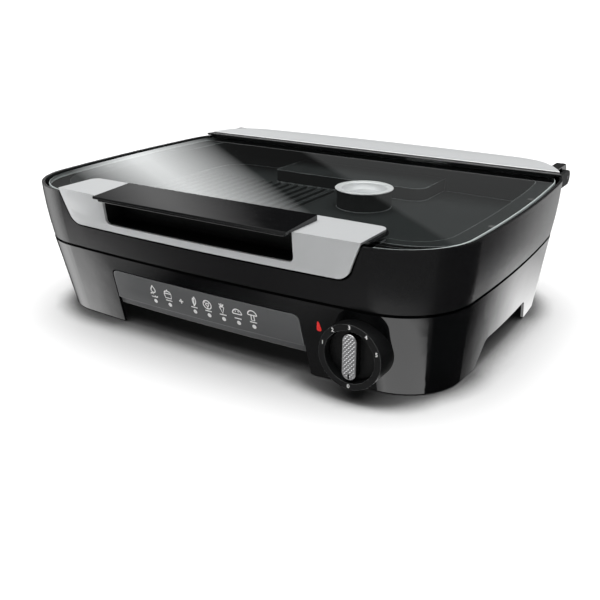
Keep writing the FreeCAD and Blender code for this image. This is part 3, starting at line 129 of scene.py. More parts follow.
class Wiring:
    # a shader's node tree
    def __init__(self, tree):
        self.tree = tree
        self.tree.nodes.clear()

    def feed(self, place, value):
        if isinstance(value, Value):
            self.tree.links.new(value.socket, place)
        elif place.type == "RGBA" and len(value) == 3:
            place.default_value = (*value, 1.0)
        else:
            place.default_value = value

    def node(self, kind, settings=None, inputs=None, output=0):
        made = self.tree.nodes.new("ShaderNode" + kind)
        for name, value in (settings or {}).items():
            setattr(made, name, value)
        for name, value in (inputs or {}).items():
            self.feed(made.inputs[name], value)
        return Value(self, made.outputs[output]) if made.outputs else None

    def at(self, centre=(0, 0, 0)):
        # object coordinates counted from a centre
        moved = tuple(-c for c in centre)
        coordinates = self.node("TexCoord", output="Object")
        return self.node("Mapping", None, {"Vector": coordinates, "Location": moved})

    def axis(self, vector, letter):
        return self.node("SeparateXYZ", None, {0: vector}, letter)

    def noise(self, size, detail=2.0):
        # blotches of about this size in metres, from 0 to 1
        return self.node("TexNoise", None, {"Vector": self.at(), "Scale": 1 / size, "Detail": detail})

    def cells(self, size):
        return self.node("TexVoronoi", None, {"Vector": self.at(), "Scale": 1 / size}, "Distance")

    def band(self, value, low, high, first=0.0, last=1.0):
        # maps a stretch of a value onto another, held at both ends
        return self.node("MapRange", None, {
            "Value": value, "From Min": low, "From Max": high, "To Min": first, "To Max": last,
        })

    def within(self, value, low, high, softLow, softHigh):
        # 1 between low and high, and falling to 0 over a soft edge beyond each
        return self.band(value, low - softLow, low) * self.band(value, high, high + softHigh, 1.0, 0.0)

    def blend(self, amount, first, second):
        # by number, as the Mix node has sockets of each kind under the same names
        return self.node("Mix", {"data_type": "RGBA"}, {0: amount, 6: first, 7: second}, 2)

    def dot(self, first, second):
        return self.node("VectorMath", {"operation": "DOT_PRODUCT"}, {0: first, 1: second}, "Value")

    def bump(self, height, depth):
        return self.node("Bump", None, {"Height": height, "Distance": depth, "Strength": 1.0})


class Finish(Wiring):
    # a material
    def __init__(self, name):
        self.material = bpy.data.materials.new(name)
        self.material.use_nodes = True
        super().__init__(self.material.node_tree)

    def surface(self, **inputs):
        # underscores stand for the blanks in the names of the shader's sockets
        named = {name.replace("_", " "): value for name, value in inputs.items()}
        return self.show(self.node("BsdfPrincipled", None, named))

    def show(self, shader):
        self.node("OutputMaterial", None, {"Surface": shader})
        return self.material


# moulded plastics and paints: a fine grain over soft clouds. Sizes and depths are in metres, tinting
# says how far grain and clouds shift the colour to the other one, and dulling what they add to the
# roughness
grainedLooks = {
    "dark_grey_plastic": {
        "name": "paintedHousing",
        "colour": (0.0042, 0.0044, 0.0047),
        "other": (0.009, 0.009, 0.0095),
        "grain": 0.00055,
        "cloud": 0.060,
        "tinting": (0.6, 0.25),
        "roughness": 0.17,
        "dulling": (0.06, 0.05),
        "depth": 0.00004,
        "specular": 0.22,
    },
    "satin_black": {
        "name": "satinPlastic",
        "colour": (0.0042, 0.0044, 0.0048),
        "other": (0.009, 0.0092, 0.0095),
        "grain": 0.0008,
        "cloud": 0.030,
        "tinting": (0.5, 0.3),
        "roughness": 0.36,
        "dulling": (0.10, 0.05),
        "depth": 0.00008,
        "specular": 0.3,
    },
    "silver_trim": {
        "name": "satinSilver",
        "colour": (0.55, 0.56, 0.565),
        "other": (0.47, 0.48, 0.485),
        "grain": 0.0005,
        "cloud": 0.050,
        "tinting": (0.5, 0.3),
        "roughness": 0.34,
        "dulling": (0.08, 0.04),
        "depth": 0.00002,
        "metallic": 0.25,
        "detail": 2.0,
    },
    "panel_grey": {
        "name": "panelPaint",
        "colour": (0.098, 0.100, 0.102),
        "other": (0.122, 0.123, 0.125),
        "grain": 0.0006,
        "cloud": 0.050,
        "tinting": (0.4, 0.5),
        "roughness": 0.16,
        "dulling": (0.05, 0.04),
        "depth": 0.00002,
        "specular": 0.03,
    },
}


def grainedFinish(name, colour, other, grain, cloud, tinting, roughness, dulling, depth,
                  metallic=0.0, specular=0.5, detail=3.0):
    finish = Finish(name)
    fine = finish.noise(grain, detail)
    soft = finish.noise(cloud, detail + 1)
    return finish.surface(
        Base_Color=finish.blend(fine * tinting[0] + soft * tinting[1], colour, other),
        Metallic=metallic,
        Roughness=roughness + fine * dulling[0] + soft * dulling[1],
        Specular_IOR_Level=specular,
        Normal=finish.bump(fine, depth),
    )


# the small and hidden pieces: name, colour, roughness, metallic, and for the finest also grain and depth
plainLooks = {
    "tray_sheet": ("trayEnamel", (0.026, 0.026, 0.028), 0.22, 0.0),
    "bright_sheet": ("reflectorSheet", (0.72, 0.72, 0.73), 0.24, 1.0),
    "heater_steel": ("heaterTube", (0.16, 0.14, 0.12), 0.42, 1.0),
    "zinc_steel": ("zincSteel", (0.52, 0.52, 0.53), 0.32, 1.0),
    "knurled_silver": ("knurledSilver", (0.80, 0.80, 0.81), 0.26, 1.0),
    "ceramic": ("ceramic", (0.80, 0.78, 0.72), 0.55, 0.0),
    "silicone": ("silicone", (0.09, 0.088, 0.085), 0.55, 0.0),
    "rubber": ("footRubber", (0.018, 0.018, 0.019), 0.62, 0.0),
    "print_white": ("whitePrint", (0.90, 0.90, 0.89), 0.45, 0.0, 0.0006, 0.00001),
    # the next two are painted highlights: lighter finishes for the rounded edges of dark pieces and of
    # silver pieces
    "edge_highlight_on_dark": ("edgeHighlightOnDark", (0.20, 0.21, 0.21), 0.26, 0.0),
    "edge_highlight_on_silver": ("edgeHighlightOnSilver", (0.90, 0.90, 0.90), 0.28, 0.0),
    "glass_edge": ("groundGlassEdge", (0.50, 0.55, 0.54), 0.30, 0.0, 0.0008, 0.00002),
}
# what the plain finishes share: shade of the colour, and clouds so many times as large as the grain
plainShare = {"shade": 0.72, "cloud": 30, "tinting": (0.5, 0.4), "dulling": (0.08, 0.06)}


def plainFinish(name, colour, roughness, metallic, grain=0.0012, depth=0.00003):
    shade = tuple(c * plainShare["shade"] for c in colour)
    return grainedFinish(name, colour, shade, grain, grain * plainShare["cloud"], plainShare["tinting"],
                         roughness, plainShare["dulling"], depth, metallic)


def glossPlastic():
    look = {
        "colour": (0.0026, 0.0028, 0.0031),
        "dust": (0.008, 0.008, 0.009),
        "ripple": 0.020,
        "specks": 0.0011,
        "speckBand": (0.72, 0.80),
        "haze": 0.045,
        "hazeBand": (0.45, 0.75),
        "tinting": (0.35, 0.10),
        "roughness": 0.06,
        "dulling": (0.20, 0.035),
        "depth": 0.00004,
    }
    speckTint, hazeTint = look["tinting"]
    speckDull, hazeDull = look["dulling"]
    finish = Finish("glossPlastic")
    ripple = finish.noise(look["ripple"])
    specks = finish.band(finish.noise(look["specks"], 1.0), *look["speckBand"])
    haze = finish.band(finish.noise(look["haze"], 5.0), *look["hazeBand"])
    return finish.surface(
        Base_Color=finish.blend(specks * speckTint + haze * hazeTint, look["colour"], look["dust"]),
        Roughness=look["roughness"] + haze * hazeDull + specks * speckDull,
        Normal=finish.bump(ripple, look["depth"]),
    )


def coatedCasting():
    look = {
        "colour": (0.0095, 0.0120, 0.0120),
        "speck": (0.052, 0.058, 0.057),
        # colour of the painted highlight along edges and fillets
        "edge": (0.42, 0.44, 0.44),
        "grain": 0.0009,
        "depth": 0.00004,
        "specks": 0.0016,
        "speckBand": (0.10, 0.04),
        "cloud": 0.040,
        "tinting": (0.45, 0.2),
        "roughness": 0.58,
        "dulling": (0.10, 0.08),
        "specular": 0.12,
        # width and sharpness of the painted edge highlight
        "edgeLightWidth": 0.0011,
        "edgeLightBand": (0.985, 0.90),
        "ribsSide": (-0.006, -0.002),
        "ribsRear": (0.073, 0.076),
        "spared": 0.85,
    }
    speckTint, cloudTint = look["tinting"]
    grainDull, cloudDull = look["dulling"]
    finish = Finish("coatedCasting")
    grain = finish.noise(look["grain"], 3.0)
    specks = finish.band(finish.cells(look["specks"]), *look["speckBand"])
    cloud = finish.noise(look["cloud"], 4.0)
    # the coating is painted lighter along edges and fillets, a painted highlight where the rounded surface
    # leaves the flat one, and hardly at all on the ribs, left of one line and before the other
    rounded = finish.node("Bevel", {"samples": 6}, {"Radius": look["edgeLightWidth"]}, "Normal")
    straight = finish.node("NewGeometry", output="True Normal")
    edge = finish.band(finish.dot(rounded, straight), *look["edgeLightBand"])
    leftward = finish.band(finish.axis(finish.at(), "X"), *look["ribsSide"], 1.0, 0.0)
    forward = finish.band(finish.axis(finish.at(), "Y"), *look["ribsRear"], 1.0, 0.0)
    paintedEdgeLight = edge * (1 - leftward * forward * look["spared"])
    plain = finish.blend(specks * speckTint + cloud * cloudTint, look["colour"], look["speck"])
    return finish.surface(
        Base_Color=finish.blend(paintedEdgeLight, plain, look["edge"]),
        Roughness=look["roughness"] + cloud * cloudDull + grain * grainDull,
        Specular_IOR_Level=look["specular"],
        Normal=finish.bump(grain, look["depth"]),
    )


def brightCup():
    look = {
        "bright": (0.98, 0.98, 0.98),
        "worn": (0.95, 0.95, 0.95),
        # colour of the painted shade on the sloping wall
        "paintedWallShade": (0.84, 0.84, 0.85),
        "wallFoot": (0.0172, 0.0182),
        "wallHead": (0.0226, 0.0240),
        "wear": 0.006,
        "wearTint": 0.5,
        "wearDull": 0.10,
        "rings": 9000,
        "ringDepth": 0.000012,
        "metallic": 0.12,
        "roughness": 0.18,
        # a painted glow: the cup glows a little though it is no lamp
        "glow": 0.13,
        "paintedWallGlow": (0.7, 0.7, 0.7),
    }
    low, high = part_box("spice_cup")
    middle = (low + high) / 2
    finish = Finish("brightCup")
    place = finish.at((middle.x, middle.y, 0))
    flat = finish.node("VectorMath", {"operation": "MULTIPLY"}, {0: place, 1: (1, 1, 0)})
    radius = finish.node("VectorMath", {"operation": "LENGTH"}, {0: flat}, "Value")
    # rings left by spinning run round the middle, and the sloping wall is painted darker than rim and
    # bottom, a painted shade
    rings = finish.node("Math", {"operation": "SINE"}, {0: radius * look["rings"]})
    wall = finish.band(radius, *look["wallFoot"]) * finish.band(radius, *look["wallHead"], 1.0, 0.0)
    wear = finish.noise(look["wear"], 4.0)
    silver = finish.blend(wear * look["wearTint"], look["bright"], look["worn"])
    return finish.surface(
        Base_Color=finish.blend(wall, silver, look["paintedWallShade"]),
        Metallic=look["metallic"],
        Roughness=look["roughness"] + wear * look["wearDull"],
        # painted light: the whole cup glows a little, and less on the sloping wall as painted shade
        Emission_Color=finish.blend(wall, (1.0, 1.0, 1.0), look["paintedWallGlow"]),
        Emission_Strength=look["glow"],
        Normal=finish.bump(rings, look["ringDepth"]),
    )


def clearGlass():
    look = {
        "straight": 0.045,
        "rise": 5,
        "tint": (0.98, 0.99, 0.988),
        "mirror": (0.95, 0.97, 0.97),
        "smear": 0.055,
        "smearBand": (0.52, 0.80),
        "smearRoughness": 0.012,
    }
    finish = Finish("clearGlass")
    smear = finish.band(finish.noise(look["smear"], 4.0), *look["smearBand"]) * look["smearRoughness"]
    mirror = finish.node("BsdfGlossy", None, {"Color": look["mirror"], "Roughness": smear})
    through = finish.node("BsdfTransparent", None, {"Color": look["tint"]})
    # the share that one face mirrors rises towards grazing light
    slope = finish.node("LayerWeight", None, {"Blend": 0.5}, "Facing")
    single = look["straight"] + (slope ** look["rise"]) * (1 - look["straight"])
    # the face where a ray enters mirrors for both faces, so nothing is seen twice in the pane
    behind = finish.node("NewGeometry", output="Backfacing")
    share = single * 2 / (single + 1) * (1 - behind)
    return finish.show(finish.node("MixShader", None, {0: share, 1: through, 2: mirror}))


def redLens():
    look = {
        "colour": (0.70, 0.03, 0.03),
        "deep": (0.45, 0.01, 0.01),
        "cloud": 0.002,
        "cloudTint": 0.4,
        "cloudDull": 0.05,
        "roughness": 0.16,
        "glowColour": (0.9, 0.03, 0.02),
        "glow": 0.25,
    }
    finish = Finish("redLens")
    cloud = finish.noise(look["cloud"], 2.0)
    return finish.surface(
        Base_Color=finish.blend(cloud * look["cloudTint"], look["colour"], look["deep"]),
        Roughness=look["roughness"] + cloud * look["cloudDull"],
        Emission_Color=look["glowColour"],
        Emission_Strength=look["glow"],
    )


finishes = {
    "gloss_black": glossPlastic(),
    "coated_plate": coatedCasting(),
    "polished_cup": brightCup(),
    "smoked_glass": clearGlass(),
    "lens_red": redLens(),
}
finishes.update({key: grainedFinish(**look) for key, look in grainedLooks.items()})
finishes.update({key: plainFinish(*look) for key, look in plainLooks.items()})
slots = {part["node"]: part["material_slot"] for part in frame["record"]["subparts"]}
bodies = {}
for body, members in frame["record"]["behaviour"]["bodies"].items():
    bodies.update({member: body for member in members})
for name, slot in slots.items():
    mesh = nodes[name].data
    mesh.materials.clear()
    mesh.materials.append(finishes[slot])
print("finishes:", len(finishes))


# pieces: points nearer than this in metres are one, and edges flatter than this in degrees are none
mergeReach = 0.000002
flatAngle = 0.6


def settle(name, mesh, body, slot, *more, finish=None, replaces=()):
    # puts a finished mesh in the scene as a piece of one body. The faces take the slot's finish, or the
    # one that is named, and those numbered 1 and up take the finishes in more
    numbers = [face.material_index for face in mesh.polygons]
    mesh.materials.clear()
    for key in (finish or slot, *more):
        mesh.materials.append(finishes[key])
    mesh.polygons.foreach_set("material_index", numbers)
    piece = bpy.data.objects.new(name, mesh)
    scene.collection.objects.link(piece)
    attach(piece, body)
    if replaces:
        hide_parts(*replaces)


def plainMesh(thing):
    # the evaluated mesh of an object, which is then removed
    bpy.context.view_layer.update()
    seen = thing.evaluated_get(bpy.context.evaluated_depsgraph_get())
    mesh = bpy.data.meshes.new_from_object(seen)
    bpy.data.objects.remove(thing)
    return mesh


def savedMesh(name, shape):
    mesh = bpy.data.meshes.new(name)
    shape.to_mesh(mesh)
    shape.free()
    return mesh


def meshOf(name, verts, faces):
    # a mesh whose faces all point outwards
    mesh = bpy.data.meshes.new(name)
    mesh.from_pydata([tuple(v) for v in verts], [], faces)
    shape = bmesh.new()
    shape.from_mesh(mesh)
    bmesh.ops.recalc_face_normals(shape, faces=shape.faces)
    shape.to_mesh(mesh)
    shape.free()
    return mesh


def smooth(mesh, degrees=35):
    mesh.shade_smooth()
    mesh.set_sharp_from_angle(angle=math.radians(degrees))


def rounded(name, radius, paintedEdgeLight=(), segments=3, sharpFrom=40):
    # a merged copy of a CAD piece's mesh, its sharp edges rounded and in a painted edge highlight finish,
    # if it has one
    thing = bpy.data.objects.new("copy", nodes[name].data.copy())
    for key in paintedEdgeLight:
        thing.data.materials.append(finishes[key])
    scene.collection.objects.link(thing)
    shape = bmesh.new()
    shape.from_mesh(thing.data)
    bmesh.ops.remove_doubles(shape, verts=shape.verts, dist=mergeReach)
    angle = math.radians(flatAngle)
    bmesh.ops.dissolve_limit(shape, angle_limit=angle, verts=shape.verts, edges=shape.edges)
    shape.to_mesh(thing.data)
    shape.free()
    bevel = thing.modifiers.new("bevel", "BEVEL")
    bevel.width = radius * mm
    bevel.segments = segments
    bevel.limit_method = "ANGLE"
    bevel.angle_limit = math.radians(sharpFrom)
    bevel.harden_normals = True
    bevel.material = len(paintedEdgeLight) or -1
    mesh = plainMesh(thing)
    mesh.name = name
    return mesh


# edges of the CAD pieces that catch light: node, radius in millimetres
softEdges = {
    "handle_plate": 0.9,
    "handle_grip": 0.8,
    "grill_plate": 0.7,
    "drip_tray": 0.6,
    "lid_bezel": 0.8,
    "bezel_carrier": 0.5,
    "lid_rear_trim": 0.7,
    "lid_hinge_carrier": 0.9,
    "dial_ring": 0.7,
    "knob_body": 0.6,
    "drawer_front": 0.4,
    "rubber_feet": 0.8,
    "mains_inlet": 0.5,
    "hinge_bracket_left": 1.4,
    "hinge_bracket_right": 1.4,
}
# rounded edges in a finish of their own, painted lighter than the piece as a painted highlight
paintedEdgeLights = {
    "grill_plate": "edge_highlight_on_dark",
    "drawer_front": "edge_highlight_on_dark",
    "dial_ring": "edge_highlight_on_dark",
    "lid_bezel": "edge_highlight_on_silver",
    "lid_rear_trim": "edge_highlight_on_silver",
}
for name, radius in softEdges.items():
    paintedEdgeLight = [paintedEdgeLights[name]] if name in paintedEdgeLights else []
    mesh = rounded(name, radius, paintedEdgeLight)
    settle(name + ".soft", mesh, bodies[name], slots[name], *paintedEdgeLight, replaces=(name,))
print("soft edges:", len(softEdges))


# repeats: one item on every point of a mesh
def repeatTree():
    tree = bpy.data.node_groups.new("repeat", "GeometryNodeTree")
    face = tree.interface
    face.new_socket("Geometry", in_out="INPUT", socket_type="NodeSocketGeometry")
    for name, kind in (("Item", "Object"), ("Turn", "Vector"), ("Finish", "Material")):
        face.new_socket(name, in_out="INPUT", socket_type="NodeSocket" + kind)
    face.new_socket("Geometry", in_out="OUTPUT", socket_type="NodeSocketGeometry")
    entry = tree.nodes.new("NodeGroupInput")
    item = tree.nodes.new("GeometryNodeObjectInfo")
    spread = tree.nodes.new("GeometryNodeInstanceOnPoints")
    solid = tree.nodes.new("GeometryNodeRealizeInstances")
    painted = tree.nodes.new("GeometryNodeSetMaterial")
    leave = tree.nodes.new("NodeGroupOutput")
    for source, target in (
        (entry.outputs["Geometry"], spread.inputs["Points"]),
        (entry.outputs["Item"], item.inputs["Object"]),
        (item.outputs["Geometry"], spread.inputs["Instance"]),
        (entry.outputs["Turn"], spread.inputs["Rotation"]),
        (spread.outputs["Instances"], solid.inputs["Geometry"]),
        (solid.outputs["Geometry"], painted.inputs["Geometry"]),
        (entry.outputs["Finish"], painted.inputs["Material"]),
        (painted.outputs["Geometry"], leave.inputs["Geometry"]),
    ):
        tree.links.new(source, target)
    return tree


repeats = repeatTree()


def repeated(name, places, itemMesh, finish, turn=(0, 0, 0)):
    # a plain mesh of the item on every place
    item = bpy.data.objects.new(name + "Item", itemMesh)
    scene.collection.objects.link(item)
    points = bpy.data.objects.new(name, meshOf(name, places, []))
    scene.collection.objects.link(points)
    modifier = points.modifiers.new("repeat", "NODES")
    modifier.node_group = repeats
    values = {"Item": item, "Turn": turn, "Finish": finishes[finish]}
    for socket in repeats.interface.items_tree:
        if socket.in_out == "INPUT" and socket.name in values:
            modifier[socket.identifier] = values[socket.name]
    mesh = plainMesh(points)
    bpy.data.objects.remove(item)
    return mesh


def arc(x, z, radius, first, last, steps=10, squeeze=1.0):
    # points along an arc from one angle to another, in degrees
    points = []
    for i in range(steps + 1):
        angle = math.radians(first + (last - first) * i / steps)
        points.append((x + radius * math.cos(angle), z + radius * squeeze * math.sin(angle)))
    return points


def stadium(halfWidth, halfLength, steps=14):
    # outline round (x, z), counterclockwise
    top = arc(0, halfLength - halfWidth, halfWidth, 0, 180, 2 * steps + 1)
    return top + [(-x, -z) for x, z in top]


def ringStack(levels, closed=False):
    # joins outlines of equal count, level by level, and may close the first and the last
    verts, faces = [], []
    count = len(levels[0])
    for level in levels:
        verts += level
    for k in range(len(levels) - 1):
        for i in range(count):
            j = (i + 1) % count
            faces.append((k * count + i, k * count + j, (k + 1) * count + j, (k + 1) * count + i))
    if closed:
        faces += [tuple(range(count)), tuple(range(len(verts) - count, len(verts)))]
    return verts, faces


def lathe(profile, steps=64):
    # turns (radius, height) pairs about the Z axis; the profile runs from axis to axis
    verts, faces, rings = [], [], []
    for radius, height in profile:
        if radius < 1e-7:
            rings.append([len(verts)] * steps)
            verts.append((0, 0, height))
            continue
        rings.append(list(range(len(verts), len(verts) + steps)))
        for i in range(steps):
            angle = 2 * math.pi * i / steps
            verts.append((radius * math.cos(angle), radius * math.sin(angle), height))
    for low, high in zip(rings, rings[1:]):
        for i in range(steps):
            j = (i + 1) % steps
            corners = [low[i], low[j], high[j], high[i]]
            face = [c for k, c in enumerate(corners) if c not in corners[:k]]
            if len(face) > 2:
                faces.append(face)
    return verts, faces


# the dial's grip: a dark bar with a knurled silver face and a pointer at its foot. A profile lists an
# inset and a height over the back, the seam or the face
gripLook = {
    "faceDepth": 1.1,
    "bar": ((0.25, "back", 0.0), (0.0, "seam", 0.4), (0.0, "seam", 0.1), (0.35, "seam", 0.0)),
    "rim": ((0.35, "seam", 0.0), (0.2, "seam", -0.2), (0.2, "face", 0.3), (0.45, "face", 0.0),
            (0.75, "face", 0.0), (0.85, "face", 0.45)),
    "netInset": 0.75,
    "netTuck": 0.05,
    "netSmallest": 0.01,
    "netWeld": 0.005,
    "cellWidth": 3.1,
    "cellHeight": 3.7,
    "cell": ((1.0, 0.04), (0.74, 0.0), (0.30, 0.45)),
    "pointerWidth": 1.5,
    "pointerLength": 4.2,
    "pointerFoot": 0.9,
    "pointer": ((0.0, 0.5), (0.0, -0.02), (0.25, -0.14)),
}


def knurlNet(middle, half, length, faceY):
    # cells side by side over the face, each a land round a diamond pit
    a, b = gripLook["cellWidth"] * mm / 2, gripLook["cellHeight"] * mm / 2
    corners, sides = [], []
    for share, depth in gripLook["cell"]:
        for x, z in ((a, 0), (0, b), (-a, 0), (0, -b)):
            corners.append((x * share, depth * mm, z * share))
    for k in (0, 4):
        for i in range(4):
            j = (i + 1) % 4
            sides.append((k + i, k + 4 + i, k + 4 + j, k + j))
    # the bottom of the pit
    sides.append((8, 11, 10, 9))
    places = []
    rows = int(length / b) + 2
    columns = int(half / a) + 2
    for i in range(-columns, columns + 1):
        for k in range(-rows, rows + 1):
            if (i + k) % 2 == 0 and abs(i * a) < half + a and abs(k * b) < length + b:
                places.append((middle.x + i * a, faceY, middle.z + k * b))
    net = repeated("knurl", places, meshOf("cell", corners, sides), "knurled_silver")

    # what reaches past the rim is drawn in under it
    shape = bmesh.new()
    shape.from_mesh(net)
    reach = half - gripLook["netInset"] * mm
    straight = length - half
    outside = set()
    for vert in shape.verts:
        dx = vert.co.x - middle.x
        dz = vert.co.z - middle.z
        up = max(abs(dz) - straight, 0)
        far = math.hypot(dx, up)
        if far > reach:
            outside.add(vert)
            share = reach / far
            vert.co.x = middle.x + dx * share
            vert.co.z = middle.z + math.copysign(min(abs(dz), straight) + up * share, dz)
            vert.co.y = faceY + gripLook["netTuck"] * mm
    lost = [face for face in shape.faces if all(vert in outside for vert in face.verts)]
    bmesh.ops.delete(shape, geom=lost, context="FACES")
    bmesh.ops.dissolve_degenerate(shape, dist=gripLook["netSmallest"] * mm, edges=shape.edges)
    return shape


def buildGrip():
    low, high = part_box("knob_grip")
    middle = (low + high) / 2
    half, length = (high.x - low.x) / 2, (high.z - low.z) / 2
    places = {"back": high.y, "seam": low.y + gripLook["faceDepth"] * mm, "face": low.y}

    def levels(profile):
        return [[(middle.x + x, places[start] + depth * mm, middle.z + z)
                 for x, z in stadium(half - inset * mm, length - inset * mm)]
                for inset, start, depth in profile]

    bar = meshOf("knob_grip_bar", *ringStack(levels(gripLook["bar"]), closed=True))
    smooth(bar)
    settle("knob_grip_bar", bar, "knob", "satin_black", finish="gloss_black", replaces=("knob_grip",))

    shape = knurlNet(middle, half, length, low.y)
    shape.from_mesh(meshOf("knob_grip_rim", *ringStack(levels(gripLook["rim"]))))
    bmesh.ops.remove_doubles(shape, verts=shape.verts, dist=gripLook["netWeld"] * mm)
    face = savedMesh("knob_grip_face", shape)
    # all of it looks to the front
    for polygon in face.polygons:
        if polygon.normal.y > 0.9:
            polygon.flip()
    smooth(face, 25)
    settle("knob_grip_face", face, "knob", "knurled_silver")

    wide, tall = gripLook["pointerWidth"] * mm / 2, gripLook["pointerLength"] * mm / 2
    foot = middle.z - length + tall + gripLook["pointerFoot"] * mm
    rings = []
    for inset, depth in gripLook["pointer"]:
        outline = stadium(wide - inset * mm, tall - inset * mm, 6)
        rings.append([(middle.x + x, low.y + depth * mm, foot + z) for x, z in outline])
    pointer = meshOf("dial_pointer", *ringStack(rings, closed=True))
    smooth(pointer)
    settle("dial_pointer", pointer, "knob", "satin_black")


buildGrip()
print("dial grip knurled")


# the cup: pressed sheet with a rolled rim, a flat floor and a step in the wall, in millimetres. Lip and
# bare rim are counted in rolls, and the foot in bends. A step place counts steps outwards and shares of
# the height, and a point of the outside lies so many sheets off a radius and a height
cupLook = {
    "sheet": 1.2,
    "roll": 1.1,
    "wallTop": 22.6,
    "wallLow": 18.2,
    "bend": 2.2,
    "topSqueeze": 0.8,
    "rimDrop": 0.15,
    "seamDrop": 0.05,
    "step": 0.8,
    "stepPlaces": ((0.3, 0.52), (1.3, 0.56)),
    "lip": 1.6,
    "bare": 1.2,
    "foot": 0.4,
    "outside": (("lip", 0.0, "top", -0.95), ("wallTop", 1.4, "top", -1.0), ("wallTop", 0.6, "top", -2.2),
                ("wallLow", 1.0, "floor", 1.2), ("foot", 0.0, "floor", 0.0)),
}


def buildCup():
    low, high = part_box("spice_cup")
    middle = (low + high) / 2
    flange = (high.x - low.x) / 2
    top, floor = high.z - middle.z, low.z - middle.z
    sheet, roll, upper, lower = (cupLook[key] * mm for key in ("sheet", "roll", "wallTop", "wallLow"))
    bend, step, rimDrop, seamDrop = (cupLook[key] * mm for key in ("bend", "step", "rimDrop", "seamDrop"))
    squeeze = cupLook["topSqueeze"]
    lip, foot = flange - roll * cupLook["lip"], lower - bend * cupLook["foot"]
    inner = [(0, floor + sheet)]
    inner += arc(lower - bend, floor + sheet + bend, bend, -90, 0, 5)
    for out, up in cupLook["stepPlaces"]:
        inner.append((lower + step * out, floor + (top - floor) * up))
    inner += arc(upper + bend, top - bend * squeeze - rimDrop, bend, 180, 90, 5, squeeze)
    inner.append((lip, top - seamDrop))
    inner += arc(flange - roll / 2, top - roll / 2, roll / 2, 90, -90, 8)
    radii = {"lip": lip, "wallTop": upper, "wallLow": lower, "foot": foot}
    heights = {"top": top, "floor": floor}
    outer = []
    for radius, out, height, up in cupLook["outside"]:
        outer.append((radii[radius] + sheet * out, heights[height] + sheet * up))
    mesh = meshOf("spice_cup", *lathe(inner + outer + [(0, floor)], steps=96))
    mesh.transform(Matrix.Translation(middle))
    smooth(mesh, 40)
    # the wall is coated outside, up to the rolled rim
    coated = high.z - roll * cupLook["bare"]
    for face in mesh.polygons:
        outward = (face.center - middle).xy.dot(face.normal.xy)
        face.material_index = 1 if outward > 0 and face.center.z < coated else 0
    settle("spice_cup.turned", mesh, "cup", "polished_cup", "satin_black", replaces=("spice_cup",))


buildCup()


# the lid's glass: clear faces, and a ground edge that carries the light round it
glassLook = {"round": 0.9, "segments": 2, "sharpFrom": 50, "bezelReach": 6, "level": 0.98}


def buildGlass():
    segments, sharpFrom = glassLook["segments"], glassLook["sharpFrom"]
    mesh = rounded("lid_glass", glassLook["round"], segments=segments, sharpFrom=sharpFrom)
    # the cut-out under the bezel is left clear
    low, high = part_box("lid_bezel")
    reach = glassLook["bezelReach"] * mm
    for face in mesh.polygons:
        covered = low.x - reach < face.center.x < high.x + reach and face.center.y < high.y + reach
        face.material_index = 0 if covered or abs(face.normal.z) > glassLook["level"] else 1
    settle("lid_glass.pane", mesh, "lid", "smoked_glass", "glass_edge", replaces=("lid_glass",))


buildGlass()


# screws with a cross recess: shares of the radius, and sizes in millimetres
screwLook = {
    "height": 2.0,
    "head": ((1.0, 0.0), (1.0, 0.55), (0.94, 0.82), (0.80, 0.98)),
    "reach": 0.58,
    "arm": 0.17,
    "pit": 0.8,
    "pitDepth": 1.1,
    "turn": 0.35,
    "overlap": 0.1,
    "pitch": 1.2,
    "root": 0.44,
    "crest": 0.50,
    "tip": 0.40,
    "tipLength": 0.4,
}


def screwHead(radius, height, steps=32):
    # a pan head, recess upwards, seated at z = 0
    reach, arm = radius * screwLook["reach"], radius * screwLook["arm"]
    cross = []
    for i in range(4):
        turn = math.pi / 2 * i
        for x, y in ((arm, -arm), (reach, -arm), (reach, arm)):
            cross.append((x * math.cos(turn) - y * math.sin(turn), x * math.sin(turn) + y * math.cos(turn)))
    shape = bmesh.new()
    rings = []
    for share, level in screwLook["head"]:
        circle = arc(0, 0, radius * share, 0, 360, steps)[:-1]
        rings.append([shape.verts.new((x, y, height * level)) for x, y in circle])
    for first, second in zip(rings, rings[1:]):
        for i in range(steps):
            j = (i + 1) % steps
            shape.faces.new((first[i], first[j], second[j], second[i]))
    shape.faces.new(list(reversed(rings[0])))
    share, depth = screwLook["pit"], screwLook["pitDepth"] * mm
    mouth = [shape.verts.new((x, y, height)) for x, y in cross]
    pit = [shape.verts.new((x * share, y * share, height - depth)) for x, y in cross]
    for i in range(len(mouth)):
        j = (i + 1) % len(mouth)
        shape.faces.new((mouth[j], mouth[i], pit[i], pit[j]))
    shape.faces.new(pit)
    edges = []
    for ring in (rings[-1], mouth):
        edges += [shape.edges.get((vert, ring[(i + 1) % len(ring)])) for i, vert in enumerate(ring)]
    bmesh.ops.triangle_fill(shape, edges=edges, use_beauty=True)
    bmesh.ops.recalc_face_normals(shape, faces=shape.faces)
    return savedMesh("screw", shape)


def screwShank(radius, start, end):
    # a thread between two heights, on the Z axis
    root, crest, tip = (radius * screwLook[key] for key in ("root", "crest", "tip"))
    pitch, tipLength = screwLook["pitch"] * mm, screwLook["tipLength"] * mm
    profile = [(0, start)]
    height = start
    while height < end - pitch:
        profile += [(root, height), (crest, height + pitch / 2)]
        height += pitch
    profile += [(tip, end - tipLength), (0, end)]
    return meshOf("shank", *lathe(profile, steps=20))


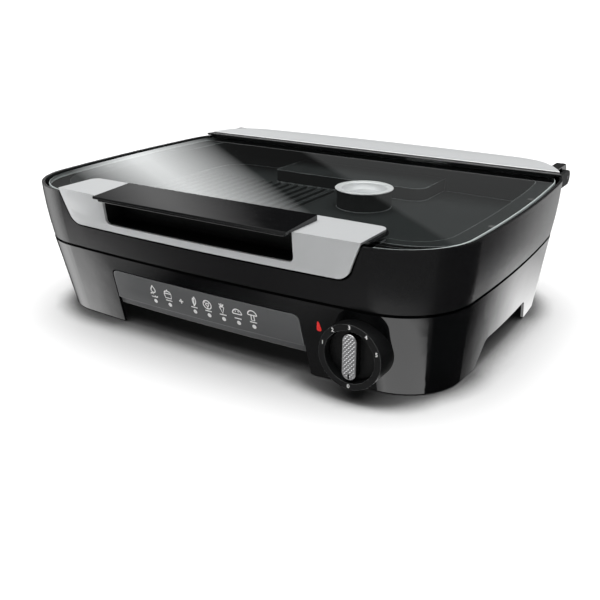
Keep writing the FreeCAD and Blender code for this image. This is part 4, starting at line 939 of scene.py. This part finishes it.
def islands(name):
    # boxes of the separate solids in a CAD node, always in the same order: (low, high) of each
    shape = bmesh.new()
    shape.from_mesh(nodes[name].data)
    bmesh.ops.remove_doubles(shape, verts=shape.verts, dist=mergeReach)
    left = set(shape.verts)
    boxes = []
    while left:
        group, queue = set(), [left.pop()]
        while queue:
            vert = queue.pop()
            group.add(vert)
            for edge in vert.link_edges:
                other = edge.other_vert(vert)
                if other in left:
                    left.discard(other)
                    queue.append(other)
        low = Vector(min(v.co[k] for v in group) for k in range(3))
        high = Vector(max(v.co[k] for v in group) for k in range(3))
        boxes.append((low, high))
    shape.free()
    return sorted(boxes, key=lambda box: tuple(box[0]))


def buildScrews(name, body):
    boxes = islands(name)
    radius = (boxes[0][1].x - boxes[0][0].x) / 2
    height = screwLook["height"] * mm
    places = [((low.x + high.x) / 2, (low.y + high.y) / 2, low.z + height) for low, high in boxes]
    turn = (math.pi, 0, screwLook["turn"])
    shape = bmesh.new()
    shape.from_mesh(repeated(name, places, screwHead(radius, height), "zinc_steel", turn))
    for (x, y, seat), (_, high) in zip(places, boxes):
        shank = screwShank(radius, seat - screwLook["overlap"] * mm, high.z)
        shank.transform(Matrix.Translation((x, y, 0)))
        shape.from_mesh(shank)
    mesh = savedMesh(name, shape)
    smooth(mesh, 30)
    settle(name + ".cut", mesh, body, "zinc_steel", replaces=(name,))


for name in ("housing_screws", "handle_screws"):
    buildScrews(name, bodies[name])
print("cup, glass and screws")


def printed(name, shape, body, slot, seat=None, lift=0.0):
    # flat figures turned to the front, in white; a seat is a CAD node whose front they lie just proud of
    bmesh.ops.recalc_face_normals(shape, faces=shape.faces)
    for face in shape.faces:
        if face.normal.y > 0:
            face.normal_flip()
    if seat:
        solid = bmesh.new()
        solid.from_mesh(nodes[seat].data)
        front = BVHTree.FromBMesh(solid)
        solid.free()
        for vert in shape.verts:
            hit = front.ray_cast(Vector((vert.co.x, -1, vert.co.z)), Vector((0, 1, 0)))[0]
            vert.co.y = hit.y - lift
    settle(name, savedMesh(name, shape), body, slot, finish="print_white")


# figures on the drawer front: generic food signs, each with a bar and a dot, in millimetres
signs = {
    "columns": (-60.0, -42.5, -13.0, 3.0, 19.0, 35.0, 51.0),
    "size": 11.4,
    "line": 1.1,
    "height": 47.6,
    "barHeight": 41.2,
    "barReach": 0.32,
    "dotHeight": 36.7,
    "dotRadius": 2.1,
    "plusPlace": (-27.5, 44.0),
    "plusReach": 2.4,
    "plusGap": 0.7,
    "plusLine": 1.3,
    "lift": 0.06,
}
# strokes of each sign, in shares of the size
signShapes = [
    # drop over two waves
    [
        [(0, 0.5), *arc(0, 0.06, 0.22, 40, -220, 12), (0, 0.5)],
        arc(-0.2, -0.38, 0.16, 160, 20, 6),
        arc(0.2, -0.38, 0.16, 200, 340, 6),
    ],
    # pot with a lid
    [
        [(-0.36, 0.08), (-0.3, -0.34), (0.3, -0.34), (0.36, 0.08), (-0.36, 0.08)],
        arc(0, 0.12, 0.32, 10, 170, 8, 0.6),
        [(0, 0.36), (0, 0.46)],
    ],
    # leaf
    [
        arc(-0.28, 0.1, 0.56, -62, 38, 8),
        arc(0.62, -0.02, 0.66, 218, 150, 8),
        [(0.0, -0.42), (0.1, 0.1), (0.14, 0.4)],
    ],
    # cut fruit
    [
        arc(0, 0, 0.38, 0, 360, 16),
        arc(0, 0, 0.14, 0, 360, 8),
        [(0.16, 0.16), (0.26, 0.26)],
        [(-0.16, 0.16), (-0.26, 0.26)],
        [(0, -0.2), (0, -0.34)],
    ],
    # root with leaves
    [
        [(-0.2, 0.12), (0.0, -0.46), (0.2, 0.12), (-0.2, 0.12)],
        [(0, 0.14), (0, 0.44)],
        [(-0.04, 0.14), (-0.2, 0.4)],
        [(0.04, 0.14), (0.2, 0.4)],
    ],
    # slice
    [
        arc(0, -0.16, 0.42, 0, 180, 12),
        [(-0.42, -0.16), (0.42, -0.16)],
        [(-0.16, 0.02), (-0.1, 0.12)],
        [(0.16, 0.02), (0.1, 0.12)],
    ],
    # mushroom
    [
        arc(0, 0.06, 0.4, 0, 180, 10),
        [(-0.4, 0.06), (0.4, 0.06)],
        [(-0.12, 0.04), (-0.14, -0.4), (0.14, -0.4), (0.12, 0.04)],
    ],
]


def addStroke(shape, points, width):
    # a flat ribbon along points in the plane y = 0
    path = [Vector((x, 0, z)) for x, z in points]
    rails = []
    for i, point in enumerate(path):
        along = path[min(i + 1, len(path) - 1)] - path[max(i - 1, 0)]
        side = Vector((-along.z, 0, along.x)).normalized() * width / 2
        rails.append((shape.verts.new(point + side), shape.verts.new(point - side)))
    for first, second in zip(rails, rails[1:]):
        shape.faces.new((first[0], first[1], second[1], second[0]))


def drawSigns():
    shape = bmesh.new()
    size, line, height, bar, dot, dotRadius = (
        signs[key] * mm for key in ("size", "line", "height", "barHeight", "dotHeight", "dotRadius"))
    half = size * signs["barReach"]
    for column, strokes in zip(signs["columns"], signShapes):
        x = column * mm
        for stroke in strokes:
            addStroke(shape, [(x + px * size, height + pz * size) for px, pz in stroke], line)
        addStroke(shape, [(x - half, bar), (x + half, bar)], line)
        circle = arc(x, dot, dotRadius, 360, 0, 20)[:-1]
        shape.faces.new([shape.verts.new((px, 0, pz)) for px, pz in circle])
    x, z = (value * mm for value in signs["plusPlace"])
    reach, gap, thick = (signs[key] * mm for key in ("plusReach", "plusGap", "plusLine"))
    addStroke(shape, [(x - reach, z), (x + reach, z)], thick)
    addStroke(shape, [(x, z - reach), (x, z - gap)], thick)
    addStroke(shape, [(x, z + gap), (x, z + reach)], thick)
    printed("drawer_signs", shape, "drawer", "panel_grey", "drawer_front", signs["lift"] * mm)


drawSigns()


# numbers on the fixed ring round the knob: angle of each, sizes in millimetres
dialMarks = {
    "numbers": {"0": 270, "1": 163, "2": 127, "3": 91, "4": 55, "5": 19},
    "radius": 24.9,
    "height": 4.6,
    "bold": 0.09,
    "lift": 0.08,
}


def drawNumbers():
    low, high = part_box("dial_ring")
    centre = Vector(((low.x + high.x) / 2, low.y - dialMarks["lift"] * mm, (low.z + high.z) / 2))
    shape = bmesh.new()
    for text, angle in dialMarks["numbers"].items():
        curve = bpy.data.curves.new("number", "FONT")
        curve.body = text
        curve.size = dialMarks["height"] * mm
        curve.align_x = "CENTER"
        curve.align_y = "CENTER"
        curve.offset = dialMarks["bold"] * mm
        thing = bpy.data.objects.new("number", curve)
        scene.collection.objects.link(thing)
        mesh = plainMesh(thing)
        turn = math.radians(angle)
        out = Vector((math.cos(turn), 0, math.sin(turn))) * dialMarks["radius"] * mm
        mesh.transform(Matrix.Translation(centre + out) @ Matrix.Rotation(math.radians(90), 4, "X"))
        shape.from_mesh(mesh)
    printed("dial_numbers", shape, "appliance", "satin_black")


drawNumbers()
print("print: signs and numbers")


# a pale floor under a studio of soft panels: what the gloss mirrors is set by direction, in degrees
# round from the back towards the right, and upwards. The floor's colour is darkened where the object is
# near, a painted contact shadow
stage = {
    "floorHalf": 60.0,
    "floorColour": (0.90, 0.90, 0.90),
    "floorRoughness": (0.10, 0.06),
    "floorRipple": 0.4,
    "floorGloss": 0.06,
    # colour of the painted contact shadow near the object
    "contactShadowColour": (0.16, 0.16, 0.16),
    "contactReach": 0.05,
    "contactBand": (0.74, 0.50),
    "backdrop": 1.25,
    "ceilingRise": (42, 52),
    "ceiling": 4.1,
    "frontShare": 0.8,
    "backShare": 1.2,
    "shareReach": 0.7,
    "dark": 0.02,
    "lowSoft": 4,
    "leaningSoft": 1,
    "leaningFade": (0.026, 0.092),
}
# upright panels below the horizon, seen in the walls: from, to, soft edge of each side, lowest and
# highest, light
lowPanels = {
    "left": (-112, -100, 5, 36, -90, -6, 3.3),
    "frontLeft": (-165, -114, 12, 4, -90, -42, 0.16),
    "frontLeftUpper": (-122, -112, 16, 6, -37, -6, 0.7),
    "frontRight": (106, 196, 1.5, 14, -90, -45, 2.9),
    "frontRightUpper": (106, 215, 10, 10, -45, -6, 0.4),
    "backRight": (-30, 12, 10, 9, -90, -6, 1.05),
    "backRightLower": (-30, 9, 10, 10, -90, -22, 1.6),
}
# leaning edges above the horizon, seen in the glass: two points on the edge, one on the bright
# side, half the soft edge, lowest and highest, light near the edge, light further off
leaningPanels = {
    "left": ((-41.9, 10.5), (-36.0, 14.9), (-46.5, 12.0), 0.038, 1.0, 17.2, 2.15, 0.09),
    "leftTop": ((-42.5, 17.4), (-37.5, 25.0), (-46.5, 20.0), 0.045, 17.2, 27.0, 0.85, 0.2),
    "right": ((-32.5, 10.9), (-20.8, 17.5), (-18.0, 12.8), 0.003, 1.0, 30.0, 0.09, 0.09),
}


def direction(azimuth, elevation):
    a, e = math.radians(azimuth), math.radians(elevation)
    return Vector((math.sin(a) * math.cos(e), math.cos(a) * math.cos(e), math.sin(e)))


def buildWorld():
    world = bpy.data.worlds.new("studio")
    world.use_nodes = True
    scene.world = world
    wiring = Wiring(world.node_tree)
    gaze = wiring.node("TexCoord", output="Generated")
    right, back, up = (wiring.axis(gaze, letter) for letter in "XYZ")
    azimuth = wiring.node("Math", {"operation": "ARCTAN2"}, {0: right, 1: back}) * (180 / math.pi)
    elevation = wiring.node("Math", {"operation": "ARCSINE"}, {0: up}) * (180 / math.pi)

    def between(lowest, highest, soft):
        # a soft edge lies half inside the panel and half outside
        return wiring.within(elevation, lowest + soft / 2, highest - soft / 2, soft, soft)

    far = stage["shareReach"]
    share = wiring.band(back, -far, far, stage["frontShare"], stage["backShare"])
    light = wiring.band(elevation, *stage["ceilingRise"], 0.0, stage["ceiling"]) * share + stage["dark"]
    for first, last, softFirst, softLast, lowest, highest, strength in lowPanels.values():
        # degrees from the middle of the panel, the short way round
        away = azimuth - (first + last) / 2
        turned = wiring.node("Math", {"operation": "WRAP"}, {0: away, 1: -180.0, 2: 180.0})
        reach = (last - first) / 2
        inside = wiring.within(turned, -reach, reach, softFirst, softLast)
        light = light + inside * between(lowest, highest, stage["lowSoft"]) * strength
    for first, second, bright, soft, lowest, highest, near, away in leaningPanels.values():
        edge = direction(*first).cross(direction(*second)).normalized()
        if edge.dot(direction(*bright)) < 0:
            edge = -edge
        beyond = wiring.dot(gaze, tuple(edge))
        inside = wiring.band(beyond, -soft, soft) * wiring.band(beyond, *stage["leaningFade"], near, away)
        light = light + inside * between(lowest, highest, stage["leaningSoft"])
    seen = wiring.node("LightPath", output="Is Camera Ray")
    shade = wiring.node("Background", None, {"Strength": light})
    plain = wiring.node("Background", None, {"Strength": stage["backdrop"]})
    shown = wiring.node("MixShader", None, {0: seen, 1: shade, 2: plain})
    wiring.node("OutputWorld", None, {"Surface": shown})


def buildStage():
    half = stage["floorHalf"]
    mesh = bpy.data.meshes.new("floor")
    corners = [(-half, -half, 0), (half, -half, 0), (half, half, 0), (-half, half, 0)]
    mesh.from_pydata(corners, [], [(0, 1, 2, 3)])
    floor = bpy.data.objects.new("floor", mesh)
    scene.collection.objects.link(floor)
    finish = Finish("paleFloor")
    # the floor's colour turns dark grey where ambient occlusion finds the object near, a painted contact
    # shadow
    nearness = finish.node("AmbientOcclusion", None, {"Distance": stage["contactReach"]}, "AO")
    contactShadow = finish.band(nearness, *stage["contactBand"])
    pale = finish.node("BsdfDiffuse", None, {"Color": stage["floorColour"]})
    dark = finish.node("BsdfDiffuse", None, {"Color": stage["contactShadowColour"]})
    matt = finish.node("MixShader", None, {0: contactShadow, 1: pale, 2: dark})
    smoothest, ripple = stage["floorRoughness"]
    roughness = smoothest + finish.noise(stage["floorRipple"], 3.0) * ripple
    gloss = finish.node("BsdfGlossy", None, {"Roughness": roughness})
    shown = finish.node("MixShader", None, {0: stage["floorGloss"], 1: matt, 2: gloss})
    mesh.materials.append(finish.show(shown))
    floor.visible_glossy = False


buildWorld()
buildStage()
scene.view_settings.view_transform = "Standard"
print("stage lit")
